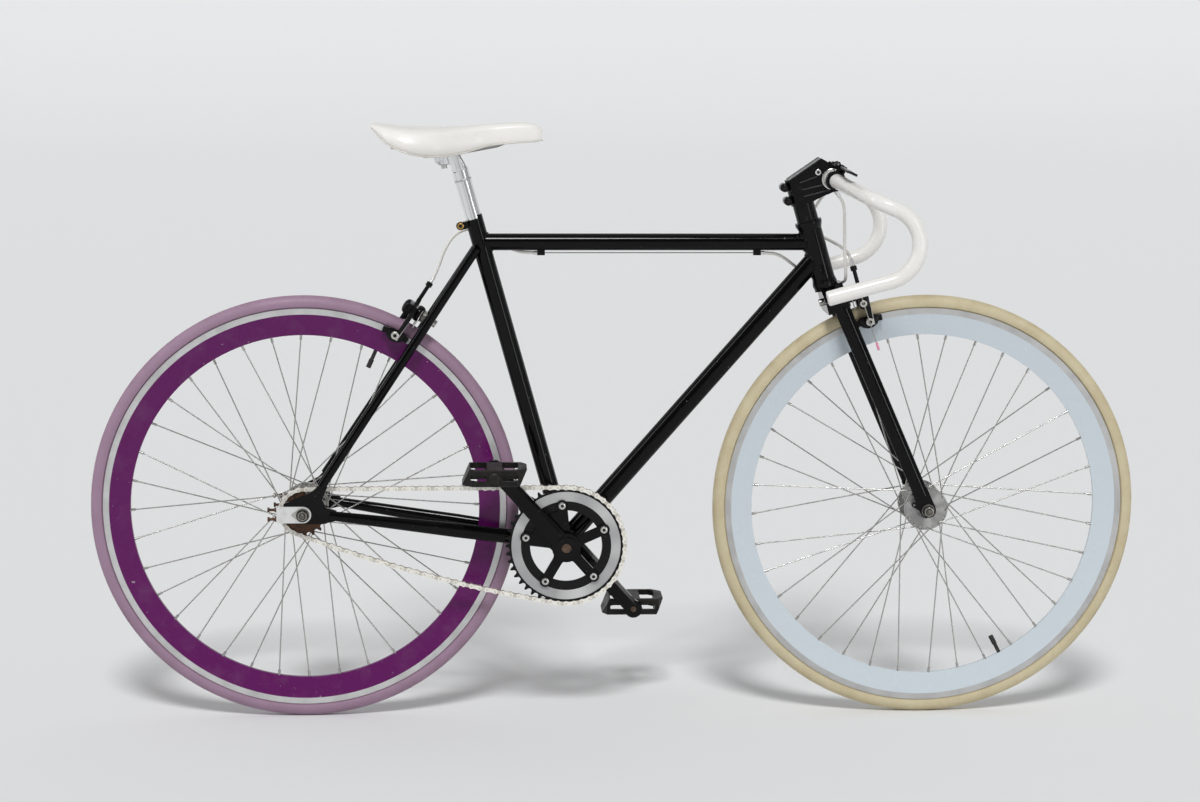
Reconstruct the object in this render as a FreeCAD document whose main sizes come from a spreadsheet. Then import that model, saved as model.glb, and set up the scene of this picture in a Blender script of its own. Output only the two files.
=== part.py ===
"""Fixed gear bicycle with drop handlebar, side-pull brakes and deep rims.

Millimetres. The origin is on the ground midway between the wheel centres, X points
forward, Y to the rider's left and Z up. The drive side is on the rider's right, at -Y.
"""
import FreeCAD, Part
import math
import os
import re
from types import SimpleNamespace

import Sketcher
from FreeCAD import Placement, Rotation, Vector

SIZES = {
    # Fits shared by all pieces
    "running_clearance": 0.05,
    "seat_gap": 0.1,
    "body_gap": 0.4,
    # Wheels
    "wheel_base": 982.5,
    "tyre_radius": 337.0,
    "tyre_section": 12.8,
    "tyre_casing": 2.4,
    "bead_depth": 5.5,
    "bead_width": 2.2,
    "bead_lip": 0.7,
    "bead_slope": 1.8,
    "rim_edge": 317.0,
    "rim_half_width": 9.75,
    "rim_track": 9.0,
    "rim_depth": 42.5,
    "rim_nose_half": 3.4,
    "rim_wall": 1.7,
    "rim_well": 2.6,
    "rim_nose_wall": 3.5,
    "inner_tube_section": 8.2,
    "inner_tube_wall": 0.9,
    "valve_radius": 3.0,
    "valve_cap_radius": 3.9,
    "valve_cap_length": 14.0,
    "valve_reach": 30.0,
    "valve_bore": 1.0,
    "front_valve_angle": -61.9,
    "rear_valve_angle": 65.7,
    "spokes_per_flange": 18,
    "spoke_cross_angle": 60.0,
    "spoke_radius": 1.0,
    "spoke_head_radius": 1.8,
    "spoke_head_thickness": 1.0,
    "spoke_stagger": 1.0,
    "spoke_flange_run": 11.5,
    "nipple_radius": 2.0,
    "nipple_length": 13.0,
    "nipple_depth": 5.0,
    # Hubs and axles
    "flange_radius": 34.5,
    "flange_thickness": 3.0,
    "spoke_circle": 31.0,
    "hub_barrel_radius": 13.0,
    "hub_neck_radius": 16.0,
    "hub_cap_radius": 12.5,
    "hub_neck_length": 11.0,
    "front_flange_offset": 33.5,
    "rear_flange_offset": 31.0,
    "front_hub_half": 40.0,
    "rear_hub_half": 40.0,
    "front_axle_radius": 4.5,
    "rear_axle_radius": 5.0,
    "front_spacing": 100.0,
    "rear_spacing": 120.0,
    "locknut_radius": 8.5,
    "axle_stub": 3.0,
    "nut_height": 7.0,
    "nut_radius": 8.4,
    "nut_flange_radius": 10.5,
    "nut_flange_height": 2.0,
    # Drive
    "chain_pitch": 12.7,
    "chain_line": 43.0,
    "chain_plate_half": 4.0,
    "chain_plate_waist": 2.7,
    "chain_plate_thickness": 1.0,
    "chain_inner_half": 1.7,
    "chain_plate_gap": 0.1,
    "chain_pin_radius": 1.7,
    "chain_pin_overhang": 0.5,
    "roller_radius": 3.85,
    "ring_teeth": 46,
    "sprocket_teeth": 18,
    "tooth_seat_radius": 4.05,
    "tooth_height": 2.9,
    "tooth_tip_half": 0.7,
    "ring_thickness": 3.0,
    "ring_inner_radius": 56.7,
    "ring_band_inner": 71.2,
    "ring_band_outer": 86.0,
    "ring_band_height": 0.4,
    "ring_bolt_circle": 65.0,
    "ring_bolt_count": 5,
    "ring_bolt_radius": 4.0,
    "ring_bolt_head_radius": 5.6,
    "ring_bolt_head_height": 1.5,
    "sprocket_boss_radius": 17.3,
    "sprocket_collar_radius": 22.0,
    "lockring_radius": 20.5,
    "lockring_width": 3.5,
    "crank_length": 170.0,
    "crank_angle": 131.7,
    "crank_boss_radius": 17.5,
    "crank_boss_width": 19.0,
    "crank_root_width": 27.0,
    "crank_tip_width": 23.0,
    "crank_thickness": 13.5,
    "crank_eye_radius": 14.5,
    "crank_pedal_offset": 68.0,
    "crank_root_offset": 58.0,
    "spider_thickness": 4.5,
    "spider_arm_width": 16.0,
    "spider_window_radius": 13.0,
    "spider_tab_radius": 9.0,
    "spindle_radius": 8.4,
    "spindle_half": 65.0,
    "crank_bolt_radius": 7.0,
    "crank_bolt_height": 3.0,
    "pedal_axle_radius": 4.5,
    "pedal_collar_radius": 8.0,
    "pedal_collar_width": 2.5,
    "pedal_length": 101.0,
    "pedal_width": 80.0,
    "pedal_height": 26.0,
    "pedal_barrel_radius": 12.0,
    "pedal_wall": 8.0,
    "pedal_corner": 16.0,
    "pedal_lean": 12.0,
    "pedal_slot_height": 9.0,
    "pedal_slot_length": 24.0,
    # Frame
    "bracket_drop": 55.4,
    "chain_stay_length": 414.9,
    "seat_angle": 74.33,
    "seat_tube_length": 537.0,
    "seat_tube_radius": 14.0,
    "head_angle": 73.9,
    "head_tube_length": 80.0,
    "head_tube_radius": 18.0,
    "head_tube_wall": 1.5,
    "top_tube_height": 757.6,
    "top_tube_radius": 13.3,
    "down_tube_radius": 15.0,
    "tube_wall": 1.2,
    "bracket_shell_radius": 20.0,
    "bracket_shell_width": 68.0,
    "bracket_cup_radius": 17.4,
    "bracket_cup_lip": 3.0,
    "bracket_cup_depth": 20.0,
    "chain_stay_front_offset": 20.0,
    "chain_stay_tall": 11.5,
    "chain_stay_wide": 8.0,
    "chain_stay_tip_radius": 7.5,
    "stay_end_length": 45.0,
    "seat_stay_radius": 7.4,
    "seat_stay_top_height": 748.0,
    "seat_stay_top_back": 9.3,
    "seat_stay_top_offset": 14.5,
    "seat_stay_foot_ahead": 28.5,
    "seat_stay_foot_rise": 44.0,
    "bridge_radius": 7.0,
    "stay_bridge_radius": 6.0,
    "stay_bridge_distance": 352.0,
    "dropout_thickness": 6.0,
    "dropout_slot_rear": 30.0,
    "tensioner_thickness": 2.5,
    "tensioner_length": 41.0,
    "tensioner_half_height": 13.0,
    "tensioner_end_plate": 3.0,
    "tensioner_bolt_radius": 2.2,
    "tensioner_bolt_spacing": 15.0,
    "tensioner_bolt_length": 14.0,
    "tensioner_head_radius": 3.8,
    "tensioner_head_height": 3.0,
    "clamp_ear_radius": 6.8,
    "clamp_ear_back": 23.0,
    "clamp_ear_drop": 9.5,
    "clamp_ear_half": 9.0,
    "clamp_slot": 2.5,
    "clamp_slot_depth": 26.0,
    "seat_tube_tab": 5.0,
    "clamp_bolt_radius": 3.0,
    "clamp_bolt_head_radius": 5.0,
    "clamp_bolt_head_height": 4.0,
    "cable_stop_length": 12.0,
    "cable_stop_width": 7.0,
    "cable_stop_height": 7.5,
    "cable_stop_rear": -119.0,
    "cable_stop_front": 220.5,
    # Seat
    "seatpost_radius": 12.7,
    "seatpost_wall": 2.0,
    "seatpost_rise": 78.0,
    "seatpost_insert": 105.0,
    "cradle_heel_radius": 4.0,
    "cradle_flank_radius": 4.0,
    "saddle_clamp_half": 13.0,
    "saddle_clamp_wing": 25.0,
    "saddle_rail_radius": 3.5,
    "saddle_rail_offset": 21.0,
    "saddle_padding": 9.0,
    "saddle_shell": 3.0,
    # Fork, stem and handlebar
    "fork_rake": 57.5,
    "fork_length": 383.0,
    "fork_crown_height": 42.0,
    "fork_crown_depth": 11.0,
    "fork_crown_front": 24.5,
    "fork_race_height": 6.0,
    "fork_blade_ahead": 11.5,
    "fork_blade_chord": 12.6,
    "fork_blade_half_width": 8.5,
    "fork_blade_wall": 1.5,
    "fork_blade_top_offset": 36.0,
    "fork_tip_thickness": 5.0,
    "fork_tip_radius": 12.6,
    "fork_tip_length": 36.0,
    "steerer_radius": 14.3,
    "steerer_wall": 2.5,
    "headset_lip_radius": 21.2,
    "headset_lower_lip_radius": 19.6,
    "headset_lower_stack": 12.0,
    "headset_upper_stack": 14.0,
    "headset_lip_height": 4.5,
    "headset_bearing_radius": 17.2,
    "headset_bearing_height": 6.0,
    "spacer_radius": 17.0,
    "spacer_height": 28.8,
    "stem_clamp_radius": 19.0,
    "stem_clamp_height": 42.0,
    "stem_reach": 52.0,
    "stem_rise": 4.5,
    "stem_half_width": 20.0,
    "stem_bolt_radius": 2.5,
    "stem_bolt_head_radius": 4.6,
    "stem_bolt_head_height": 4.5,
    "faceplate_gap": 1.2,
    "bar_radius": 11.5,
    "bar_wall": 1.6,
    "bar_sleeve_radius": 13.0,
    "bar_sleeve_half": 27.0,
    "bar_half_width": 200.0,
    "bar_forward": 53.0,
    "bar_drop": 88.0,
    "bar_hook_radius": 57.0,
    "bar_ramp_angle": 22.0,
    "bar_tail_angle": 15.0,
    "bar_tail_length": 97.0,
    "bar_shoulder_radius": 45.0,
    "bar_bend_radius": 60.0,
    "plug_lip": 2.0,
    "plug_depth": 18.0,
    # Brakes
    "brake_bolt_radius": 3.0,
    "brake_boss_radius": 8.0,
    "brake_nut_radius": 6.0,
    "brake_nut_height": 6.0,
    "front_brake_stand_off": 42.0,
    "rear_brake_stand_off": 25.0,
    "front_brake_bolt_drop": 24.5,
    "brake_reach": 46.0,
    "arm_thickness": 7.0,
    "arm_width": 11.0,
    "arm_span": 37.0,
    "arm_rise": 9.0,
    "arm_boss": 9.0,
    "pad_gap": 2.3,
    "pad_thickness": 8.5,
    "pad_half_height": 4.2,
    "pad_arc": 8.0,
    "pad_centre_radius": 312.5,
    "pad_bolt_radius": 5.5,
    "pad_bolt_height": 3.0,
    "barrel_radius": 3.2,
    "barrel_length": 24.0,
    "barrel_knob_radius": 5.2,
    "barrel_knob_length": 7.0,
    "ferrule_radius": 3.3,
    "ferrule_length": 8.0,
    "cable_radius": 2.5,
    "wire_radius": 0.8,
    "lever_clamp_centre": 38.0,
    "lever_clamp_width": 14.0,
    "lever_clamp_wall": 4.0,
    "lever_tilt": 25.0,
    "lever_pivot_height": 21.0,
    "lever_length": 88.0,
    "lever_sweep": 9.0,
    "lever_half_width": 8.5,
    "lever_thickness": 5.0,
    "lever_boss_radius": 6.0,
    "lever_pin_radius": 2.5,
}

UP = Vector(0, 0, 1)
ACROSS = Vector(0, 1, 0)
AHEAD = Vector(1, 0, 0)
RIGHT = -1
LEFT = 1
SIDES = (RIGHT, LEFT)
SIDE_NAMES = {RIGHT: "right", LEFT: "left"}

doc = FreeCAD.newDocument("fixed_gear_bike")
dims = doc.addObject("Spreadsheet::Sheet", "dims")
nodes = {}


def fill_sheet():
    """Write every driving size to its own cell, under its own alias."""
    for row, (alias, number) in enumerate(SIZES.items(), start=1):
        dims.set("A%d" % row, alias)
        dims.set("B%d" % row, repr(number))
        dims.setAlias("B%d" % row, alias)
    doc.recompute()


fill_sheet()
size = SimpleNamespace(**{alias: float(getattr(dims, alias)) for alias in SIZES})


# Helpers for expressions, sketches and document objects


def linked(expression):
    """Point every size named in an expression at its cell."""
    def cell(match):
        word = match.group()
        return "dims." + word if word in SIZES else word
    return re.sub(r"[a-z][a-z_]*", cell, expression)


def value(expression):
    """The number that an expression of sizes gives."""
    return float(dims.evalExpression(linked(expression)))


def node(label, item):
    """Keep a finished sub-part under its name."""
    item.Label = label
    nodes[label] = item
    return item


def along(base, axis):
    """A placement whose Z axis points along the given axis."""
    return Placement(base, Rotation(UP, axis))


def framed(base, x_axis, y_axis):
    """A placement given by its origin and two of its axes."""
    return Placement(base, Rotation(x_axis, y_axis, x_axis.cross(y_axis), "XYZ"))


def outline(body, role, loops):
    """Closed straight-sided loops on one of a body's planes, each corner a pair of expressions."""
    sketch = body.newObject("Sketcher::SketchObject", body.Name + "_outline")
    plane = [item for item in body.Origin.OriginFeatures if item.Role == role][0]
    sketch.AttachmentSupport = [(plane, "")]
    sketch.MapMode = "FlatFace"
    for corners in loops:
        first = sketch.GeometryCount
        places = [Vector(value(across), value(upward), 0) for across, upward in corners]
        count = len(places)
        for index, place in enumerate(places):
            sketch.addGeometry(Part.LineSegment(place, places[(index + 1) % count]))
        for index in range(count):
            following = first + (index + 1) % count
            sketch.addConstraint(Sketcher.Constraint("Coincident", first + index, 2, following, 1))
        for index, corner in enumerate(corners):
            for kind, expression in zip(("DistanceX", "DistanceY"), corner):
                limit = Sketcher.Constraint(kind, -1, 1, first + index, 1, value(expression))
                number = sketch.addConstraint(limit)
                sketch.setExpression("Constraints[%d]" % number, linked(expression))
    return sketch


def turned(label, loops, base, axis):
    """A body of revolution from loops of (radius, height) corners about the axis."""
    body = doc.addObject("PartDesign::Body", label)
    turn = body.newObject("PartDesign::Revolution", label + "_turn")
    turn.Profile = outline(body, "XZ_Plane", loops)
    turn.ReferenceAxis = (turn.Profile[0], ["V_Axis"])
    turn.Angle = 360
    body.Placement = along(base, axis)
    return body


def plate(label, loops, thickness, frame):
    """A flat body whose outline lies in the frame's XY plane and grows along its Z."""
    body = doc.addObject("PartDesign::Body", label)
    pad = body.newObject("PartDesign::Pad", label + "_pad")
    pad.Profile = outline(body, "XY_Plane", loops)
    pad.setExpression("Length", linked(thickness))
    body.Placement = frame
    return body


def rod(label, start, end, radius):
    """A round bar from one point to another."""
    bar = doc.addObject("Part::Cylinder", label)
    bar.setExpression("Radius", linked(radius))
    bar.Height = (end - start).Length
    bar.Placement = along(start, end - start)
    return bar


def block(label, frame, length, width, height):
    """A box in a frame, centred on its XY plane and growing along its Z."""
    box = doc.addObject("Part::Box", label)
    box.setExpression("Length", linked(length))
    box.setExpression("Width", linked(width))
    box.setExpression("Height", linked(height))
    shift = Vector(-value(length) / 2, -value(width) / 2, 0)
    box.Placement = frame.multiply(Placement(shift, Rotation()))
    return box


def cut(label, base, *tools):
    """A piece with other pieces taken out of it."""
    for number, tool in enumerate(tools):
        step = doc.addObject("Part::Cut", "%s_cut_%d" % (label, number))
        step.Base = base
        step.Tool = tool
        base = step
    return base


def fuse(label, *pieces):
    """Several pieces made one."""
    joined = doc.addObject("Part::MultiFuse", label)
    joined.Shapes = list(pieces)
    return joined


def feature(label, shape):
    """A piece whose shape is worked out here."""
    item = doc.addObject("Part::Feature", label)
    item.Shape = shape
    return item


def group(label, items):
    """Separate solids that share one node."""
    doc.recompute()
    return feature(label, Part.Compound([solid for item in items for solid in item.Shape.Solids]))


def polar(centre, radius, angle, offset=0.0):
    """A point in a wheel's plane, at an angle in degrees from ahead towards up."""
    turn = math.radians(angle)
    return Vector(centre.x + radius * math.cos(turn), offset, centre.z + radius * math.sin(turn))


def spun(shape, centre, angle):
    """A copy of a shape, turned about a wheel's axis by an angle as polar measures it."""
    copy = shape.copy()
    copy.rotate(Vector(centre.x, 0, centre.z), ACROSS, -angle)
    return copy


def rounded_path(points, radii):
    """Straight runs joined by tangent arcs, one radius for each inner point."""
    edges = []
    start = points[0]
    for corner, before, after, radius in zip(points[1:-1], points, points[2:], radii):
        inward = (before - corner).normalize()
        outward = (after - corner).normalize()
        half = inward.getAngle(outward) / 2
        reach = radius / math.tan(half)
        middle = (inward + outward).normalize()
        first = corner + inward * reach
        last = corner + outward * reach
        crest = corner + middle * (radius / math.sin(half) - radius)
        if (first - start).Length > 1e-6:
            edges.append(Part.LineSegment(start, first).toShape())
        edges.append(Part.Arc(first, crest, last).toShape())
        start = last
    edges.append(Part.LineSegment(start, points[-1]).toShape())
    return Part.Wire(edges)


def easy_radii(points, share=0.45):
    """The largest arcs that a route's runs allow."""
    radii = []
    for before, corner, after in zip(points, points[1:], points[2:]):
        turn = math.pi - (before - corner).getAngle(after - corner)
        shorter = min((before - corner).Length, (after - corner).Length)
        radii.append(share * shorter / math.tan(turn / 2))
    return radii


def piped(path, radius):
    """A round bar along a path."""
    start = path.OrderedEdges[0]
    first = start.firstVertex().Point
    ring = Part.Wire(Part.makeCircle(radius, first, start.tangentAt(start.FirstParameter)))
    return path.makePipeShell([ring], True, False)


def prism(points, direction):
    """A straight-sided solid over a closed outline."""
    return Part.Face(Part.makePolygon(list(points) + [points[0]])).extrude(direction)


# Places that the whole bicycle shares

rear_axle = Vector(-size.wheel_base / 2, 0, size.tyre_radius)
front_axle = Vector(size.wheel_base / 2, 0, size.tyre_radius)
stay_run = math.sqrt(size.chain_stay_length ** 2 - size.bracket_drop ** 2)
bracket = rear_axle + Vector(stay_run, 0, -size.bracket_drop)
seat_lean = math.radians(size.seat_angle)
seat_up = Vector(-math.cos(seat_lean), 0, math.sin(seat_lean))
seat_back = Vector(-math.sin(seat_lean), 0, -math.cos(seat_lean))
seat_top = bracket + seat_up * size.seat_tube_length
head_lean = math.radians(size.head_angle)
head_up = Vector(-math.cos(head_lean), 0, math.sin(head_lean))
head_ahead = Vector(math.sin(head_lean), 0, math.cos(head_lean))
steer_foot = front_axle - head_ahead * size.fork_rake


def steer(height):
    """A point on the steering axis, measured along it from abreast of the front axle."""
    return steer_foot + head_up * height


def lean_point(base, direction, height):
    """Where a line in the bicycle's middle plane reaches a height."""
    return base + direction * ((height - base.z) / direction.z)


crown_top = size.fork_length
crown_foot = crown_top - size.fork_crown_height
head_foot = crown_top + size.headset_lower_stack
head_top = head_foot + size.head_tube_length
spacer_foot = head_top + size.headset_upper_stack
spacer_count = 1
stem_foot = spacer_foot + spacer_count * size.spacer_height
stem_top = stem_foot + size.stem_clamp_height
stem_middle = (stem_foot + stem_top) / 2
bar_centre = steer(stem_middle + size.stem_rise) + head_ahead * size.stem_reach


# Wheels


def tyre(label, axle):
    """A clincher tyre: round casing, shoulders that close over the rim, and two beads."""
    lip = size.rim_edge + size.bead_lip
    shoulder = lip + size.bead_slope
    centre = size.tyre_radius - size.tyre_section
    bead_out = size.rim_half_width - size.rim_wall - size.seat_gap
    bead_in = bead_out - size.bead_width
    bead_foot = size.rim_edge - size.bead_depth
    inner_section = size.tyre_section - size.tyre_casing
    inner_shoulder = shoulder + size.bead_slope
    outer_width = math.sqrt(size.tyre_section ** 2 - (centre - shoulder) ** 2)
    inner_width = math.sqrt(inner_section ** 2 - (centre - inner_shoulder) ** 2)

    def place(width, radius):
        return axle + ACROSS * width + UP * radius

    def run(*corners):
        return Part.makePolygon([place(*corner) for corner in corners]).Edges

    def arch(width, foot, crest):
        return [Part.Arc(place(width, foot), place(0, crest), place(-width, foot)).toShape()]

    outside = run((bead_in, bead_foot), (bead_out, bead_foot), (bead_out, lip), (outer_width, shoulder))
    outside += arch(outer_width, shoulder, size.tyre_radius)
    outside += run((-outer_width, shoulder), (-bead_out, lip), (-bead_out, bead_foot), (-bead_in, bead_foot))
    inside = run((-bead_in, bead_foot), (-bead_in, shoulder - size.bead_lip), (-inner_width, inner_shoulder))
    inside += arch(-inner_width, inner_shoulder, size.tyre_radius - size.tyre_casing)
    inside += run((inner_width, inner_shoulder), (bead_in, shoulder - size.bead_lip), (bead_in, bead_foot))
    section = Part.Face(Part.Wire(outside + inside))
    return node(label, feature(label, section.revolve(axle, ACROSS, 360)))


def rim(label, axle, holes):
    """A deep hollow rim: flat brake tracks, sloping sides to a narrow nose, and drilled holes."""
    nose = "rim_edge - rim_depth"
    bed = "rim_edge - rim_track + rim_wall"
    well = "rim_edge - rim_track - rim_well + rim_wall"
    channel = "(rim_half_width - rim_wall)"
    outside = [("rim_edge", "rim_half_width"), ("rim_edge - rim_track", "rim_half_width"),
               (nose, "rim_nose_half"), (nose, "-rim_nose_half"),
               ("rim_edge - rim_track", "-rim_half_width"), ("rim_edge", "-rim_half_width"),
               ("rim_edge", "-" + channel), (bed, "-" + channel), (well, "-rim_nose_half"),
               (well, "rim_nose_half"), (bed, channel), ("rim_edge", channel)]
    shoulder = "rim_edge - rim_track - rim_well - rim_wall"
    chamber = [(shoulder, "rim_half_width - 2 * rim_wall"),
               (nose + " + rim_nose_wall", "rim_nose_half - rim_wall"),
               (nose + " + rim_nose_wall", "rim_wall - rim_nose_half"),
               (shoulder, "2 * rim_wall - rim_half_width")]
    hoop = turned(label + "_hoop", [outside, chamber], axle, ACROSS)
    return node(label, cut(label, hoop, holes))


def inner_tube(label, axle, angle):
    """A thin tube inside the tyre, with its valve stem and cap through the rim."""
    middle = size.tyre_radius - size.tyre_casing - size.inner_tube_section - size.running_clearance * 20
    hose = Part.makeTorus(middle, size.inner_tube_section, axle, ACROSS)
    air = Part.makeTorus(middle, size.inner_tube_section - size.inner_tube_wall, axle, ACROSS)
    inward = polar(Vector(), -1, angle)
    root = polar(axle, middle - size.inner_tube_section + size.inner_tube_wall / 2, angle)
    tip_radius = size.rim_edge - size.rim_depth - size.valve_reach
    tip = polar(axle, tip_radius, angle)
    stem = Part.makeCylinder(size.valve_radius, (tip - root).Length, root, inward)
    cap = Part.makeCylinder(size.valve_cap_radius, size.valve_cap_length,
                            tip - inward * size.valve_cap_length, inward)
    bore = Part.makeCylinder(size.valve_bore, middle - tip_radius, polar(axle, middle, angle), inward)
    return node(label, feature(label, hose.fuse([stem, cap]).cut([air, bore])))


def spoke_parts(axle, flange_offset, side, outside, hub_angle):
    """One spoke with its head and nipple, and the holes that it needs in the flange and the rim."""
    flange_y = side * flange_offset
    half = size.flange_thickness / 2
    lay = side * (half + size.spoke_radius + size.seat_gap) * (1 if outside else -1)
    outward = ACROSS * math.copysign(1, lay)
    cross = size.spoke_cross_angle if outside else -size.spoke_cross_angle
    nose = size.rim_edge - size.rim_depth
    elbow = polar(axle, size.spoke_circle, hub_angle, flange_y + lay)
    seat = polar(axle, nose + size.nipple_depth, hub_angle + cross, side * size.spoke_stagger)
    corner = elbow
    bends = [Part.makeSphere(size.spoke_radius, elbow)]
    if outside:
        level = (seat - elbow - ACROSS * (seat - elbow).y).normalize()
        corner = elbow + level * size.spoke_flange_run
        bends.append(Part.makeCylinder(size.spoke_radius, size.spoke_flange_run, elbow, level))
        bends.append(Part.makeSphere(size.spoke_radius, corner))
    line = (seat - corner).normalize()
    wire = Part.makeCylinder(size.spoke_radius, (seat - corner).Length, corner, line)
    head_face = polar(axle, size.spoke_circle, hub_angle, flange_y) - outward * (half + size.seat_gap)
    shank = Part.makeCylinder(size.spoke_radius, (elbow - head_face).Length, elbow, -outward)
    head = Part.makeCylinder(size.spoke_head_radius, size.spoke_head_thickness, head_face, -outward)
    nipple = Part.makeCylinder(size.nipple_radius, size.nipple_length,
                               seat - line * size.nipple_length, line)
    spoke = wire.fuse(bends + [shank, head, nipple])
    flange_hole = Part.makeCylinder(size.spoke_radius + size.seat_gap, 2 * size.flange_thickness,
                                    head_face - outward * half, outward)
    drill = 2 * size.nipple_depth + size.rim_nose_wall
    rim_hole = Part.makeCylinder(size.nipple_radius + size.seat_gap, 2 * drill, seat - line * drill, line)
    return spoke, flange_hole, rim_hole


def spoke_set(axle, flange_offset, valve_angle):
    """All spokes of a wheel, crossing between two flanges, and their two sets of holes."""
    per_flange = int(size.spokes_per_flange)
    pitch = 360.0 / per_flange
    start = valve_angle - pitch / 4 - size.spoke_cross_angle
    sets = ([], [], [])
    for side in SIDES:
        flange_start = start + (pitch / 2 if side == LEFT else 0)
        for outside in (True, False):
            hub_angle = flange_start + (0 if outside else pitch)
            parts = spoke_parts(axle, flange_offset, side, outside, hub_angle)
            for number in range(per_flange // 2):
                for kept, part in zip(sets, parts):
                    kept.append(spun(part, axle, 2 * pitch * number))
    return [Part.Compound(kept) for kept in sets]


def valve_hole(axle, angle):
    """The hole that lets the valve through both walls of the rim."""
    inward = polar(Vector(), -1, angle)
    return Part.makeCylinder(size.valve_radius + size.seat_gap, size.rim_depth + size.bead_depth,
                             polar(axle, size.rim_edge, angle), inward)


def hub_corners(flange, half, right_end):
    """Half-profile of a hub shell with two high flanges; heights run from right to left."""
    edge = "flange_thickness / 2"
    profile = list(right_end)
    profile += [("hub_neck_radius", "-%s - %s" % (flange, edge)),
                ("flange_radius", "-%s - %s" % (flange, edge)),
                ("flange_radius", "-%s + %s" % (flange, edge)),
                ("hub_neck_radius", "-%s + %s" % (flange, edge)),
                ("hub_barrel_radius", "hub_neck_length - %s" % flange),
                ("hub_barrel_radius", "%s - hub_neck_length" % flange),
                ("hub_neck_radius", "%s - %s" % (flange, edge)),
                ("flange_radius", "%s - %s" % (flange, edge)),
                ("flange_radius", "%s + %s" % (flange, edge)),
                ("hub_neck_radius", "%s + %s" % (flange, edge)),
                ("hub_cap_radius", half)]
    return profile


def wheel(name, axle, flange_offset, valve_angle, shell):
    """Tyre, inner tube, rim, spokes and hub of one wheel."""
    spokes, flange_holes, rim_holes = spoke_set(axle, flange_offset, valve_angle)
    drilled = Part.Compound(rim_holes.Solids + [valve_hole(axle, valve_angle)])
    tyre(name + "_tyre", axle)
    inner_tube(name + "_inner_tube", axle, valve_angle)
    rim(name + "_rim", axle, feature(name + "_rim_holes", drilled))
    node(name + "_spokes", feature(name + "_spokes", spokes))
    hub = turned(name + "_hub_shell", [shell], axle, ACROSS)
    holes = feature(name + "_flange_holes", flange_holes)
    node(name + "_hub", cut(name + "_hub", hub, holes))


def axle_set(name, axle, radius, spacing, hub_right, hub_left, clamp, stub):
    """Axle with its locknuts, and a flanged nut outside each dropout."""
    outer = "%s / 2 + %s" % (spacing, clamp)
    seat = outer + " + nut_flange_height"
    far = seat + " + nut_height"
    corners = [("0 * %s" % radius, "-(%s + %s)" % (far, stub)), (radius, "-(%s + %s)" % (far, stub)),
               (radius, "-%s / 2" % spacing), ("locknut_radius", "-%s / 2" % spacing),
               ("locknut_radius", "-%s" % hub_right), (radius, "-%s" % hub_right),
               (radius, hub_left), ("locknut_radius", hub_left),
               ("locknut_radius", "%s / 2" % spacing), (radius, "%s / 2" % spacing),
               (radius, "%s + %s" % (far, stub)), ("0 * %s" % radius, "%s + %s" % (far, stub))]
    shaft = turned(name + "_shaft", [corners], axle, ACROSS)
    pieces = [shaft]
    for side in SIDES:
        bore = radius + " + running_clearance"
        flange = turned("%s_washer_%s" % (name, SIDE_NAMES[side]),
                        [[(bore, outer), ("nut_flange_radius", outer), ("nut_flange_radius", seat),
                          (bore, seat)]],
                        axle, ACROSS * side)
        corners = [("nut_radius * cos(%d)" % angle, "nut_radius * sin(%d)" % angle)
                   for angle in range(0, 360, 60)]
        frame = along(axle + ACROSS * side * value(seat), ACROSS * side)
        hexagon = plate("%s_hex_%s" % (name, SIDE_NAMES[side]), [corners], "nut_height", frame)
        centre = axle + ACROSS * side * value(seat)
        drill = rod("%s_thread_%s" % (name, SIDE_NAMES[side]), centre,
                    centre + ACROSS * side * size.nut_height, bore)
        whole = cut("%s_nut_%s" % (name, SIDE_NAMES[side]), hexagon, drill)
        pieces.append(fuse("%s_flanged_nut_%s" % (name, SIDE_NAMES[side]), flange, whole))
    return node(name, group(name, pieces))


front_shell = hub_corners("front_flange_offset", "front_hub_half",
                          [("front_axle_radius + running_clearance", "front_hub_half"),
                           ("front_axle_radius + running_clearance", "-front_hub_half"),
                           ("hub_cap_radius", "-front_hub_half")])
boss_end = "chain_line + ring_thickness / 2 + 2 * chain_plate_thickness + lockring_width"
rear_shell = hub_corners("rear_flange_offset", "rear_hub_half",
                         [("rear_axle_radius + running_clearance", "rear_hub_half"),
                          ("rear_axle_radius + running_clearance", "-(%s)" % boss_end),
                          ("sprocket_boss_radius", "-(%s)" % boss_end),
                          ("sprocket_boss_radius", "-rear_flange_offset - flange_thickness")])

wheel("front", front_axle, size.front_flange_offset, size.front_valve_angle, front_shell)
wheel("rear", rear_axle, size.rear_flange_offset, size.rear_valve_angle, rear_shell)
axle_set("front_axle", front_axle, "front_axle_radius", "front_spacing", "(front_hub_half + body_gap)",
         "front_hub_half + body_gap", "fork_tip_thickness", "axle_stub")
axle_set("rear_axle", rear_axle, "rear_axle_radius", "rear_spacing", "(%s + body_gap)" % boss_end,
         "rear_hub_half + body_gap", "dropout_thickness + tensioner_thickness", "axle_stub")


# Drive train


def pitch_radius(teeth):
    """Radius on which a toothed wheel holds the chain's pins."""
    return size.chain_pitch / (2 * math.sin(math.pi / teeth))


ring_radius = pitch_radius(size.ring_teeth)
sprocket_radius = pitch_radius(size.sprocket_teeth)
ring_step = 360.0 / size.ring_teeth
sprocket_step = 360.0 / size.sprocket_teeth
stay_angle = math.degrees(math.atan2(size.bracket_drop, -stay_run))
opening = math.degrees(math.acos((ring_radius - sprocket_radius) / size.chain_stay_length))
top_tangent = stay_angle - opening
foot_tangent = stay_angle + opening


def solve(function, low, high):
    """The argument between two limits at which a rising function crosses zero."""
    for _ in range(60):
        middle = (low + high) / 2
        if function(middle) < 0:
            low = middle
        else:
            high = middle
    return (low + high) / 2


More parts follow.
